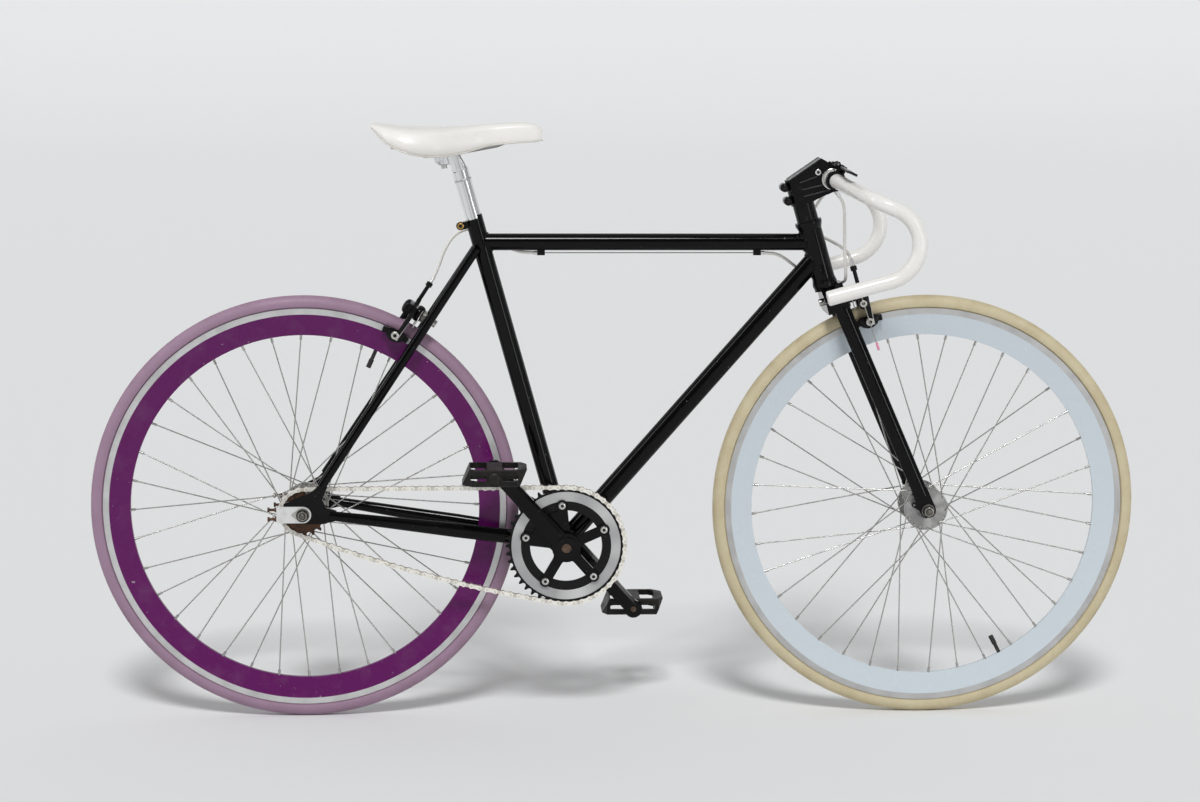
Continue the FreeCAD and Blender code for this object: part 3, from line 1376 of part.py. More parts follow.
def chain_tensioners():
    """A slotted plate on each axle end, bent round the dropout's tip, and two draw bolts each."""
    plates = []
    bolts = []
    tip = size.dropout_slot_rear
    for side in SIDES:
        face = drop_inner + size.dropout_thickness
        half = size.tensioner_half_height
        out = ACROSS * side
        base = rear_axle + out * face
        rear = -size.tensioner_length
        corners = [Vector(rear, 0, -half), Vector(0, 0, -half), Vector(0, 0, half), Vector(rear, 0, half)]
        flat = prism([base + corner for corner in corners], out * size.tensioner_thickness)
        nose = Part.makeCylinder(half, size.tensioner_thickness, base, out)
        end = prism([base + Vector(rear, 0, corner) for corner in (-half, half)] +
                    [base + Vector(rear + size.tensioner_end_plate, 0, corner) for corner in (half, -half)],
                    -out * size.dropout_thickness)
        hole = Part.makeCylinder(size.rear_axle_radius + size.seat_gap, 4 * size.tensioner_thickness,
                                 base - out * 2 * size.tensioner_thickness, out)
        drills = []
        for row in (-1, 1):
            middle = base - out * (size.dropout_thickness / 2) + UP * (row * size.tensioner_bolt_spacing / 2)
            start = middle - AHEAD * tip
            length = size.tensioner_length - tip + size.tensioner_bolt_length
            shank = Part.makeCylinder(size.tensioner_bolt_radius, length, start, -AHEAD)
            head = Part.makeCylinder(size.tensioner_head_radius, size.tensioner_head_height,
                                     start - AHEAD * length, AHEAD)
            nut = Part.makeCylinder(size.tensioner_head_radius, size.tensioner_head_height,
                                    middle - AHEAD * (size.tensioner_length + size.tensioner_head_height),
                                    AHEAD)
            bolts.append(shank.fuse([head, nut]))
            drills.append(Part.makeCylinder(size.tensioner_bolt_radius + size.running_clearance, length,
                                            start, -AHEAD))
        plates.append(flat.fuse([nose, end]).cut([hole] + drills))
    node("chain_tensioners", feature("chain_tensioners", Part.Compound(plates)))
    node("chain_tensioner_bolts", feature("chain_tensioner_bolts", Part.Compound(bolts)))


chain_tensioners()


# Seatpost and saddle

post_top = seat_top + seat_up * size.seatpost_rise
post_foot = seat_top - seat_up * size.seatpost_insert
cradle_at = post_top + Vector(-19.0, 0, 11.0)
rail_slope = Vector(math.cos(math.radians(7)), 0, math.sin(math.radians(7)))
rail_up = Vector(-rail_slope.z, 0, rail_slope.x)
rail_middle = cradle_at + rail_up * 12.0
saddle_x = cradle_at.x
saddle_z = cradle_at.z + 10.0
bolt_line = cradle_at - rail_slope * 6.0


def clamped_rails():
    """The straight lengths of both saddle rails, between the clamp's halves."""
    return [Part.makeCylinder(size.saddle_rail_radius, 60.0, rail_middle - rail_slope * 30.0
                              + ACROSS * side * size.saddle_rail_offset, rail_slope) for side in SIDES]


def seatpost():
    """Straight post with a forged cradle for the saddle rails."""
    tube = Part.makeCylinder(size.seatpost_radius, (post_top - post_foot).Length, post_foot, seat_up)
    bore = Part.makeCylinder(size.seatpost_radius - size.seatpost_wall, (post_top - post_foot).Length - 12.0,
                             post_foot, seat_up)
    half = size.saddle_clamp_half
    neck = [post_top + seat_back * 12.2 - seat_up * 6.0, post_top - seat_back * 12.2 - seat_up * 6.0,
            cradle_at + rail_slope * 19.0 + rail_up * 11.7, cradle_at - rail_slope * 21.0 + rail_up * 11.7,
            cradle_at - rail_slope * 18.5 - rail_up * 0.5, cradle_at - rail_slope * 12.0 - rail_up * 6.5,
            cradle_at + rail_slope * 5.0 - rail_up * 6.5]
    cradle = prism([corner - ACROSS * half for corner in neck], ACROSS * 2 * half)
    heel = [edge for edge in cradle.Edges if abs(edge.tangentAt(edge.FirstParameter).y) > 0.99
            and min((edge.CenterOfMass - corner).Length for corner in neck[4:]) < 0.1]
    cradle = cradle.makeFillet(size.cradle_heel_radius, heel)
    flanks = [edge for edge in cradle.Edges if abs(abs(edge.CenterOfMass.y) - half) < 0.01
              and (edge.CenterOfMass - cradle_at).dot(rail_up) < 11.0]
    cradle = cradle.makeFillet(size.cradle_flank_radius, flanks)
    hole = Part.makeCylinder(size.stem_bolt_radius + size.running_clearance, 80.0,
                             bolt_line - rail_up * 40.0, rail_up)
    wings = prism([corner - ACROSS * size.saddle_clamp_wing for corner in neck[2:5]],
                  ACROSS * 2 * size.saddle_clamp_wing)
    cradle = cradle.fuse(wings)
    rails = clamped_rails()
    shape = tube.cut(bore).fuse(cradle).cut(rails + [hole])
    return node("seatpost", feature("seatpost", shape))


def rail_path(side):
    """One rail: level through the clamp, then up to the shell at both ends."""
    offset = ACROSS * side
    wide = size.saddle_rail_offset
    points = [Vector(saddle_x + 114.0, 0, saddle_z + 29.0) + offset * 5.0,
              Vector(saddle_x + 78.0, 0, saddle_z + 14.0) + offset * 8.0,
              rail_middle + rail_slope * 34.0 + offset * wide,
              rail_middle - rail_slope * 34.0 + offset * wide,
              Vector(saddle_x - 80.0, 0, saddle_z + 19.0) + offset * (wide + 9.0)]
    return rounded_path(points, [20.0, 20.0, 20.0])


def saddle_section(distance, half_width, foot_half, crest, shoulder, foot, inset=0.0, extend=0.0):
    """One cross-section of the saddle: flat foot, drawn-in sides and a crowned top."""
    x = saddle_x + distance
    wide = half_width - inset
    low_half = max(foot_half - inset, 2.0)
    low = saddle_z + foot - extend
    top = saddle_z + crest - inset
    side_z = saddle_z + shoulder - inset
    bulge_z = (saddle_z + foot + side_z) / 2
    top_half = wide * 0.9

    def place(width, height):
        return Vector(x, width, height)

    edges = [Part.LineSegment(place(-low_half, low), place(low_half, low)).toShape(),
             Part.Arc(place(low_half, low), place(wide, bulge_z), place(top_half, side_z)).toShape(),
             Part.Arc(place(top_half, side_z), place(0, top), place(-top_half, side_z)).toShape(),
             Part.Arc(place(-top_half, side_z), place(-wide, bulge_z), place(-low_half, low)).toShape()]
    return Part.Wire(edges)


# Distance ahead of the clamp, half width, half width at the foot, crest, shoulder and foot heights
SADDLE_STATIONS = ((-114.0, 34.0, 31.0, 46.0, 42.0, 36.0),
                   (-92.0, 62.0, 59.0, 45.5, 36.0, 20.0),
                   (-58.0, 74.0, 70.0, 43.5, 31.0, 7.0),
                   (-18.0, 66.0, 62.0, 42.5, 29.5, 2.5),
                   (22.0, 45.0, 42.0, 43.5, 32.0, 6.5),
                   (64.0, 26.0, 24.5, 47.0, 37.0, 17.5),
                   (112.0, 20.5, 19.5, 49.5, 41.5, 22.5),
                   (138.0, 16.5, 15.5, 47.0, 40.0, 24.0),
                   (148.0, 8.5, 8.0, 41.5, 38.0, 27.0))


def saddle_form(inset, extend, first, last):
    """Saddle body, or its hollow when drawn in and run out below."""
    stations = SADDLE_STATIONS[first:last]
    return Part.makeLoft([saddle_section(*station, inset=inset, extend=extend) for station in stations],
                         True, True)


def saddle():
    """Padded cover over a moulded shell, which carries two steel rails."""
    outer = saddle_form(0.0, 0.0, 0, None)
    hollow = saddle_form(size.saddle_padding, 30.0, 1, -1)
    core = saddle_form(size.saddle_padding + size.saddle_shell, 30.0, 1, -1)
    rails = [piped(rail_path(side), size.saddle_rail_radius) for side in SIDES]
    cover = outer.cut(hollow)
    shell = hollow.common(outer).cut(core)
    nose_block = Part.makeBox(26.0, 36.0, 40.0, Vector(saddle_x + 92.0, -18.0, saddle_z + 18.0))
    tail_block = Part.makeBox(22.0, 84.0, 40.0, Vector(saddle_x - 86.0, -42.0, saddle_z + 9.0))
    sockets = nose_block.fuse(tail_block).common(core)
    shell = shell.fuse(sockets).cut(rails)
    node("saddle_rails", feature("saddle_rails", Part.Compound(rails)))
    node("saddle_shell", feature("saddle_shell", shell))
    node("saddle_cover", feature("saddle_cover", cover))


def saddle_clamp():
    """Upper clamp plate and the bolt that pulls it down on the rails."""
    half = size.saddle_clamp_wing
    base = rail_middle + rail_up * 0.3
    corners = [base + rail_slope * 19.0, base + rail_slope * 15.0 + rail_up * 6.5,
               base - rail_slope * 17.0 + rail_up * 6.5, base - rail_slope * 21.0]
    top = prism([corner - ACROSS * half for corner in corners], ACROSS * 2 * half)
    hole = Part.makeCylinder(size.stem_bolt_radius + size.running_clearance, 80.0,
                             bolt_line - rail_up * 40.0, rail_up)
    reach = 12.0 + 0.3 + 6.5
    bolt = Part.makeCylinder(size.stem_bolt_radius, reach + 6.5, bolt_line - rail_up * 6.5, rail_up)
    head = Part.makeCylinder(size.stem_bolt_head_radius, 3.0, bolt_line + rail_up * reach, rail_up)
    nut = Part.makeCylinder(size.stem_bolt_head_radius, 5.5, bolt_line - rail_up * 6.5, -rail_up)
    solids = [top.cut(clamped_rails() + [hole]), bolt.fuse([head, nut])]
    return node("saddle_clamp", feature("saddle_clamp", Part.Compound(solids)))


seatpost()
saddle()
saddle_clamp()


# Fork, stem and handlebar

blade_lean = (steer(crown_foot + 8.0) + head_ahead * size.fork_blade_ahead - front_axle).normalize()


def fork():
    """Steerer and crown in one piece, and two straight oval blades with slotted tips."""
    crown_at = steer(crown_foot)
    half_width = size.fork_blade_top_offset + size.fork_blade_half_width
    depth = size.fork_crown_depth
    rise = size.fork_crown_height
    waist = size.headset_lower_lip_radius - 1.0
    race = Part.makeCylinder(waist, size.fork_race_height, steer(crown_top - size.fork_race_height), head_up)
    low = [(-half_width, 0), (half_width, 0), (half_width, rise * 0.45), (half_width - 10, rise * 0.72),
           (waist, rise - 2.0), (waist - 2.0, rise), (2.0 - waist, rise), (-waist, rise - 2.0),
           (10 - half_width, rise * 0.72), (-half_width, rise * 0.45)]
    corners = [crown_at + ACROSS * across + head_up * height - head_ahead * depth for across, height in low]
    crown = prism(corners, head_ahead * (depth + size.fork_crown_front))
    shoulders = [edge for edge in crown.Edges if abs(edge.CenterOfMass.y) > waist + 3.0
                 and abs(edge.tangentAt(edge.FirstParameter).dot(head_ahead)) > 0.9]
    crown = crown.makeFillet(5.0, shoulders)
    steerer = Part.makeCylinder(size.steerer_radius, stem_top - crown_top - 5.0, steer(crown_top - 1.0),
                                head_up)
    bore = Part.makeCylinder(size.steerer_radius - size.steerer_wall, stem_top - crown_top + 1.0,
                             steer(crown_top + 4.0), head_up)
    bolt = Part.makeCylinder(size.brake_bolt_radius + size.running_clearance, 120.0,
                             front_brake_at - head_ahead * 60.0, head_ahead)
    doc.recompute()
    blades = []
    outers = []
    for side in SIDES:
        tip_y = size.front_spacing / 2 + size.fork_tip_thickness / 2
        tip = front_axle + blade_lean * size.fork_tip_length + ACROSS * side * tip_y
        top = front_axle + blade_lean * ((crown_at - front_axle).dot(blade_lean) + 10.0)
        top = top + ACROSS * side * size.fork_blade_top_offset
        line = (top - tip).normalize()
        chordwise = line.cross(ACROSS).normalize()

        def oval(centre, chord, width):
            shape = Part.Ellipse(Vector(), chord, width).toShape()
            shape.Placement = framed(centre, chordwise, line.cross(chordwise))
            return Part.Wire(shape)

        chord = size.fork_blade_chord
        half_thick = size.fork_blade_half_width
        wall = size.fork_blade_wall
        blade = Part.makeLoft([oval(tip - line * 12.0, chord * 0.94, half_thick * 0.8),
                               oval(top, chord, half_thick)], True, True)
        hollow = Part.makeLoft([oval(tip + line * size.fork_tip_length, chord * 0.94 - wall,
                                     half_thick * 0.8 - wall),
                                oval(top + line, chord - wall, half_thick - wall)], True, True)
        inner = front_axle + ACROSS * side * (size.front_spacing / 2)
        if side == LEFT:
            start = inner
        else:
            start = inner - ACROSS * size.fork_tip_thickness
        aside = blade_lean.cross(ACROSS).normalize() * size.fork_tip_radius
        flat = [front_axle - aside, front_axle + aside,
                front_axle + aside + blade_lean * size.fork_tip_length,
                front_axle - aside + blade_lean * size.fork_tip_length]
        offset = ACROSS * (start.y)
        tab = prism([corner + offset for corner in flat], ACROSS * size.fork_tip_thickness)
        tab = tab.fuse(Part.makeCylinder(size.fork_tip_radius, size.fork_tip_thickness, start, ACROSS))
        slot_half = size.front_axle_radius + size.seat_gap
        hole = Part.makeCylinder(slot_half, size.fork_tip_thickness, start, ACROSS)
        away = -head_up
        slot_side = head_ahead * slot_half
        slot = prism([start - slot_side, start + slot_side, start + slot_side + away * 40.0,
                      start - slot_side + away * 40.0],
                     ACROSS * size.fork_tip_thickness)
        nut_face = Part.makeCylinder(size.nut_flange_radius + 2.0, 30.0,
                                     front_axle + ACROSS * side * (size.front_spacing / 2
                                                                   + size.fork_tip_thickness), ACROSS * side)
        hub_face = Part.makeCylinder(size.flange_radius + 3.0, size.front_spacing / 2, front_axle,
                                     ACROSS * side)
        whole = blade.cut([nut_face, hub_face]).fuse(tab).cut([hole, slot])
        eyelet_at = start - AHEAD * 22.0 + UP * 9.0
        eyelet = Part.makeCylinder(4.2, size.fork_tip_thickness, eyelet_at, ACROSS)
        lug = prism([eyelet_at + UP * 4.0, eyelet_at - UP * 4.0, start - UP * 3.0 - AHEAD * 9.0,
                     start + UP * 11.0 - AHEAD * 9.0],
                    ACROSS * size.fork_tip_thickness)
        drill = Part.makeCylinder(2.2, size.fork_tip_thickness, eyelet_at, ACROSS)
        whole = whole.fuse([eyelet, lug]).cut([drill, hole, slot, hollow])
        blades.append(whole)
        outers.append(blade)
    shape = crown.fuse([steerer, race]).cut([bore, bolt] + outers)
    node("fork_crown", feature("fork_crown", shape))
    blades = [blade.cut(bolt) for blade in blades]
    node("fork_blades", feature("fork_blades", Part.Compound(blades)))


front_brake_at = steer(crown_top - size.front_brake_bolt_drop)
fork()


def headset_spacers():
    """The sleeve between the upper bearing and the stem."""
    bore = "steerer_radius + running_clearance"
    pieces = []
    start = spacer_foot
    for number in range(spacer_count):
        corners = [(bore, "0 * spacer_height"), ("spacer_radius", "0 * spacer_height"),
                   ("spacer_radius", "spacer_height"), (bore, "spacer_height")]
        pieces.append(turned("spacer_%d" % number, [corners], steer(start), head_up))
        start += size.spacer_height
    return node("headset_spacers", group("headset_spacers", pieces))


def stem_place(ahead, upward):
    """A point in the stem's middle plane, from the handlebar's centre."""
    return bar_centre + head_ahead * ahead + head_up * upward


def stem():
    """Forged stem with a split steerer clamp, and the faceplate that holds the handlebar."""
    half = size.stem_half_width
    reach = size.stem_reach
    foot = stem_foot - stem_middle - size.stem_rise
    profile = [(-reach - 14.0, foot), (-reach * 0.75, foot), (8.0, -18.0), (19.0, -8.0), (19.0, 6.0),
               (6.0, 22.0),
               (-8.0, 36.0), (-reach - 14.0, 16.5)]
    side = [stem_place(*point) - ACROSS * half for point in profile]
    blank = prism(side, ACROSS * 2 * half)
    waist = [prism([stem_place(-reach + 19.0, -40.0) + ACROSS * edge * half,
                    stem_place(-13.0, -40.0) + ACROSS * edge * half,
                    stem_place(-13.0, 50.0) + ACROSS * edge * half,
                    stem_place(-reach + 19.0, 50.0) + ACROSS * edge * half],
                   -ACROSS * edge * 4.0) for edge in SIDES]
    collar = Part.makeCylinder(size.stem_clamp_radius, size.stem_clamp_height, steer(stem_foot), head_up)
    bore = Part.makeCylinder(size.steerer_radius + size.running_clearance / 5, size.stem_clamp_height - 4.0,
                             steer(stem_foot - 1.0), head_up)
    bar_bore = Part.makeCylinder(size.bar_sleeve_radius + size.running_clearance / 5, 4 * half,
                                 bar_centre - ACROSS * 2 * half, ACROSS)
    gap = size.faceplate_gap
    front = prism([stem_place(gap / 2, -60.0) - ACROSS * 2 * half,
                   stem_place(60.0, -60.0) - ACROSS * 2 * half,
                   stem_place(60.0, 60.0) - ACROSS * 2 * half,
                   stem_place(gap / 2, 60.0) - ACROSS * 2 * half], ACROSS * 4 * half)
    back = front.copy()
    back.translate(-head_ahead * gap)
    slit = prism([steer(stem_foot - 1.0) - ACROSS, steer(stem_top + 1.0) - ACROSS,
                  steer(stem_top + 1.0) - ACROSS - head_ahead * 60.0,
                  steer(stem_foot - 1.0) - ACROSS - head_ahead * 60.0], ACROSS * 2)
    screws = []
    drills = []
    for height in (-11.0, 11.0):
        middle = steer(stem_middle + height) - head_ahead * (size.stem_clamp_radius + 3.5)
        ear = Part.makeCylinder(5.5, 2 * 11.0, middle - ACROSS * 11.0, ACROSS)
        collar = collar.fuse(ear)
        shank = Part.makeCylinder(size.stem_bolt_radius, 22.0, middle - ACROSS * 11.0, ACROSS)
        head = Part.makeCylinder(size.stem_bolt_head_radius, size.stem_bolt_head_height,
                                 middle - ACROSS * 11.0, -ACROSS)
        screws.append(shank.fuse(head))
        drills.append(Part.makeCylinder(size.stem_bolt_radius + size.running_clearance, 60.0,
                                        middle - ACROSS * 30.0, ACROSS))
    for across in SIDES:
        for height in (-16.2, 18.0):
            start = stem_place(-14.0, height) + ACROSS * across * 12.0
            face = stem_place(14.0, height) + ACROSS * across * 12.0
            shank = Part.makeCylinder(size.stem_bolt_radius, 28.0, start, head_ahead)
            head = Part.makeCylinder(size.stem_bolt_head_radius, size.stem_bolt_head_height, face,
                                     head_ahead)
            screws.append(shank.fuse(head))
            drills.append(Part.makeCylinder(size.stem_bolt_radius + size.running_clearance, 28.0, start,
                                            head_ahead))
            drills.append(Part.makeCylinder(size.stem_bolt_head_radius + size.running_clearance, 30.0, face,
                                            head_ahead))
    body = blank.cut(waist).fuse(collar)
    stem_body = body.cut([bore, bar_bore, slit, back] + drills)
    cover = blank.common(front).cut([bar_bore] + drills)
    node("stem", feature("stem", stem_body))
    node("stem_faceplate", feature("stem_faceplate", cover))
    node("stem_bolts", feature("stem_bolts", Part.Compound(screws)))


headset_spacers()
stem()


def bar_side(side):
    """Half of the handlebar's line, from the middle out to the tail of the drop."""
    hook = bar_centre + AHEAD * size.bar_forward - UP * size.bar_drop
    hook.y = side * size.bar_half_width
    radius = size.bar_hook_radius
    entry = 90.0 - size.bar_ramp_angle
    leave = -90.0 + size.bar_tail_angle
    half_turn = (entry - leave) / 4

    def on_hook(angle, distance):
        return polar(hook, distance, angle, hook.y)

    reach = radius / math.cos(math.radians(half_turn))
    ramp_dir = polar(Vector(), 1, entry - 90.0)
    tail_dir = polar(Vector(), 1, leave - 90.0)
    inner = bar_centre + ACROSS * side * size.bar_sleeve_half
    shoulder = on_hook(entry, radius) - ramp_dir * (size.bar_shoulder_radius * 0.78)
    tail = on_hook(leave, radius) + tail_dir * size.bar_tail_length
    return [inner, shoulder, on_hook(entry - half_turn, reach), on_hook(leave + half_turn, reach),
            tail], tail_dir


def handlebar():
    """Track drop bar: one bent tube with a thicker sleeve in the stem, and a plug in each end."""
    right, tail_dir = bar_side(RIGHT)
    left, _ = bar_side(LEFT)
    radii = [size.bar_hook_radius, size.bar_hook_radius, size.bar_shoulder_radius, size.bar_bend_radius]
    path = rounded_path(left[::-1] + right, radii[0:4] + radii[3::-1])
    outer = piped(path, size.bar_radius)
    bore = piped(path, size.bar_radius - size.bar_wall)
    sleeve_half = size.bar_sleeve_half - 1.0
    sleeve = Part.makeCylinder(size.bar_sleeve_radius, 2 * sleeve_half, bar_centre - ACROSS * sleeve_half,
                               ACROSS)
    node("handlebar", feature("handlebar", outer.fuse(sleeve).cut(bore)))
    plugs = []
    for points in (right, left):
        corners = [("0 * bar_radius", "-plug_depth"), ("bar_radius - bar_wall - seat_gap", "-plug_depth"),
                   ("bar_radius - bar_wall - seat_gap", "0 * plug_lip"), ("bar_radius", "0 * plug_lip"),
                   ("bar_radius - plug_lip / 2", "plug_lip"), ("0 * bar_radius", "plug_lip * 1.5")]
        plugs.append(turned("bar_plug_%s" % ("right" if points is right else "left"), [corners], points[-1],
                            tail_dir))
    node("bar_end_plugs", group("bar_end_plugs", plugs))


handlebar()


# Brakes


def brake_pad(axle, middle_angle, side):
    """A brake pad that follows the rim, one gap away from its track."""
    start = size.rim_half_width + size.pad_gap
    low = size.pad_centre_radius - size.pad_half_height
    high = size.pad_centre_radius + size.pad_half_height
    first = middle_angle - size.pad_arc / 2
    corners = [polar(axle, low, first, side * start), polar(axle, high, first, side * start),
               polar(axle, high, first, side * (start + size.pad_thickness)),
               polar(axle, low, first, side * (start + size.pad_thickness))]
    section = Part.Face(Part.makePolygon(corners + [corners[0]]))
    return section.revolve(axle, ACROSS, -size.pad_arc)


def caliper(name, axle, pivot, up, out, stand_off):
    """Side-pull caliper: two arms on one bolt, a pad on each, and the cable's barrel adjuster."""
    aside = up.cross(out)
    cable_side = RIGHT if aside.y > 0 else LEFT
    thick = size.arm_thickness
    layers = {"anchor": stand_off + thick + size.body_gap, "barrel": stand_off}
    pad_back = size.rim_half_width + size.pad_gap + size.pad_thickness
    pad_out = stand_off + thick + size.body_gap / 2
    pad_plane = pivot + out * pad_out

    def depth(distance):
        return size.pad_centre_radius - (pad_plane - up * distance - axle).Length

    drop = solve(depth, 0, 2 * size.brake_reach)
    pad_point = pad_plane - up * drop
    pad_angle = math.degrees(math.atan2(pad_point.z - axle.z, pad_point.x - axle.x))
    span = size.arm_span
    wide = size.arm_width
    rise = size.arm_rise
    boss = size.arm_boss

    def place(across, height, layer):
        return pivot + aside * across + up * height + out * layer

    bore = Part.makeCylinder(size.brake_bolt_radius + size.running_clearance, 200.0, pivot - out * 100.0,
                             out)
    inner = pad_back + size.body_gap
    for role, lateral in (("anchor", -1), ("barrel", 1)):
        layer = layers[role]
        profile = [(inner, -drop - 6), (inner + wide, -drop - 6), (span, -14), (span + 2, 0),
                   (span - 6, rise),
                   (boss, rise), (-boss, rise - 2), (-boss, 2 - rise), (0, -rise), (span - wide - 4, -rise),
                   (inner + 1, -rise - 8)]
        if role == "anchor":
            profile[3:5] = [(span + 7, 0), (span + 7, rise - 1), (span - 6, rise)]
        else:
            profile[6:8] = [(-boss, rise), (-span - 1, rise + 7), (-span - 7, rise + 7), (-span - 7, rise),
                            (-span + 4, rise - 2), (-boss, 2 - rise)]
        corners = [place(lateral * across, height, layer) for across, height in profile]
        arm = prism(corners, out * thick)
        side = cable_side if role == "anchor" else -cable_side
        pad = brake_pad(axle, pad_angle, side)
        bolt_base = pad_point + ACROSS * side * (pad_back)
        stud = Part.makeCylinder(size.brake_bolt_radius, wide + size.body_gap, bolt_base, ACROSS * side)
        washer = Part.makeCylinder(size.pad_bolt_radius, size.pad_bolt_height,
                                   bolt_base + ACROSS * side * (wide + size.body_gap), ACROSS * side)
        lug = Part.makeCylinder(size.pad_bolt_radius + 1.0, wide, bolt_base + ACROSS * side * size.body_gap,
                                ACROSS * side)
        washer_seat = Part.makeCylinder(size.pad_bolt_radius + size.body_gap, 20.0,
                                        bolt_base + ACROSS * side * (wide + size.body_gap), ACROSS * side)
        arm = arm.fuse(lug).cut([bore, stud, washer_seat])
        solids = [arm, pad, stud.fuse(washer)]
        if role == "barrel":
            foot = place(-span - 3, rise + 7, layer + thick / 2)
            barrel = Part.makeCylinder(size.barrel_radius, size.barrel_length, foot, up)
            knob_at = foot + up * size.barrel_length
            knob = Part.makeCylinder(size.barrel_knob_radius, size.barrel_knob_length, knob_at, up)
            wire_hole = Part.makeCylinder(size.wire_radius + size.seat_gap, 80.0, foot - up * 20.0, up)
            solids[0] = arm.fuse([barrel, knob]).cut(wire_hole)
            cable_end = knob_at + up * size.barrel_knob_length
        label = "%s_caliper_arm_%s" % (name, SIDE_NAMES[side])
        node(label, feature(label, Part.Compound(solids)))
    return cable_end, pad_angle


def brake_bolt(name, pivot, out, back, front, stand_off):
    """The bolt that holds a caliper: nut behind, spacer in front, and a nut outside the arms."""
    arms = "%s + 2 * arm_thickness + 2 * body_gap" % stand_off
    face = front + " + seat_gap"
    corners = [("0 * brake_bolt_radius", "-(%s) - brake_nut_height" % back),
               ("brake_nut_radius", "-(%s) - brake_nut_height" % back),
               ("brake_nut_radius", "-(%s)" % back), ("brake_bolt_radius", "-(%s)" % back),
               ("brake_bolt_radius", "%s" % face), ("brake_boss_radius", "%s" % face),
               ("brake_boss_radius", "%s - body_gap" % stand_off),
               ("brake_bolt_radius", "%s - body_gap" % stand_off),
               ("brake_bolt_radius", arms), ("brake_nut_radius", arms),
               ("brake_nut_radius", arms + " + brake_nut_height"),
               ("0 * brake_bolt_radius", arms + " + brake_nut_height")]
    label = name + "_brake_bolt"
    return node(label, turned(label, [corners], pivot, out))


front_cable_end, front_pad_angle = caliper("front", front_axle, front_brake_at, head_up, head_ahead,
                                           size.front_brake_stand_off)
rear_cable_end, rear_pad_angle = caliper("rear", rear_axle, rear_brake_at, stay_up, stay_out,
                                         size.rear_brake_stand_off)
brake_bolt("front", front_brake_at, head_ahead, "fork_crown_depth", "fork_crown_front",
           "front_brake_stand_off")
brake_bolt("rear", rear_brake_at, stay_out, "bridge_radius", "bridge_radius", "rear_brake_stand_off")

lever_lean = math.radians(size.lever_tilt)
lever_up = Vector(math.sin(lever_lean), 0, math.cos(lever_lean))
lever_along = Vector(math.cos(lever_lean), 0, -math.sin(lever_lean))


def lever_pivot(side):
    """Centre of a brake lever's pin, above and ahead of the handlebar."""
    line = bar_side(side)[0]
    run = (line[1] - line[0]).normalize()
    place = line[0] + run * ((size.lever_clamp_centre - size.bar_sleeve_half) / abs(run.y))
    return place, place + lever_up * size.lever_pivot_height


def brake_levers():
    """On each side a clamp round the handlebar beside the stem, and a short blade over the bar's top."""
    doc.recompute()
    bar = nodes["handlebar"].Shape
    clamps = []
    for side in SIDES:
        centre, pivot = lever_pivot(side)
        half = size.lever_clamp_width / 2
        out = ACROSS * side
        ring = Part.makeCylinder(size.bar_radius + size.lever_clamp_wall, 2 * half, centre - out * half, out)
        tower = prism([centre - out * half + lever_along * edge * 7.0 + lever_up * height
                       for edge, height in ((-1, 0), (1, 0), (1, size.lever_pivot_height + 5.0),
                                            (-1, size.lever_pivot_height + 5.0))],
                      out * 2 * half)
        pin = Part.makeCylinder(size.lever_pin_radius, 24.0, pivot - lever_along * 12.0, lever_along)
        slot_half = size.lever_thickness / 2 + size.body_gap
        hollow = Part.makeCylinder(size.lever_boss_radius + size.body_gap, 2 * slot_half,
                                   pivot - lever_along * slot_half, lever_along)
        mouth = prism([pivot - lever_along * slot_half + out * reach + lever_up * height
                       for reach, height in ((-4.0, -7.0), (30.0, -7.0), (30.0, 9.0),
                                             (-4.0, 9.0))], lever_along * 2 * slot_half)
        pin_hole = Part.makeCylinder(size.lever_pin_radius + size.running_clearance, 24.0,
                                     pivot - lever_along * 12.0, lever_along)
        clamp = ring.fuse(tower).cut([bar, hollow, mouth, pin_hole])
        clamps.append(clamp)
        boss = Part.makeCylinder(size.lever_boss_radius, size.lever_thickness,
                                 pivot - lever_along * size.lever_thickness / 2, lever_along)
        tip = size.lever_length
        thin = size.lever_thickness / 2
        flat = size.lever_half_width
        blade_rows = []
        for reach, drop, half_width in ((2.0, 0.0, thin), (16.0, 0.8, thin), (30.0, 1.0, flat),
                                        (tip - 12.0, -1.5, flat), (tip, -0.5, flat * 0.55)):
            sweep = size.lever_sweep * max(reach - 16.0, 0.0) / (tip - 16.0)
            middle = pivot + out * reach + lever_up * drop + lever_along * sweep
            corners = [middle + lever_along * half_width + lever_up * 2.2,
                       middle + lever_along * half_width - lever_up * 1.0,
                       middle - lever_along * half_width - lever_up * 1.0,
                       middle - lever_along * half_width + lever_up * 2.2]
            blade_rows.append(Part.makePolygon(corners + [corners[0]]))
        blade = Part.makeLoft(blade_rows, True, True)
        lever = boss.fuse(blade).cut(pin_hole)
        name = "rear" if side == RIGHT else "front"
        node(name + "_brake_lever", feature(name + "_brake_lever", lever))
        clamps.append(pin)
    node("brake_lever_clamps", feature("brake_lever_clamps", Part.Compound(clamps)))


brake_levers()


# Cables

lever_exit = {}
for one_side in SIDES:
    clamp_centre, clamp_pivot = lever_pivot(one_side)
    lever_exit[one_side] = clamp_centre


def cable(label, points):
    """A brake cable's housing along its route."""
    radii = easy_radii(points)
    print(label, "radii", [round(radius) for radius in radii])
    path = rounded_path(points, radii)
    return node(label, feature(label, piped(path, size.cable_radius)))


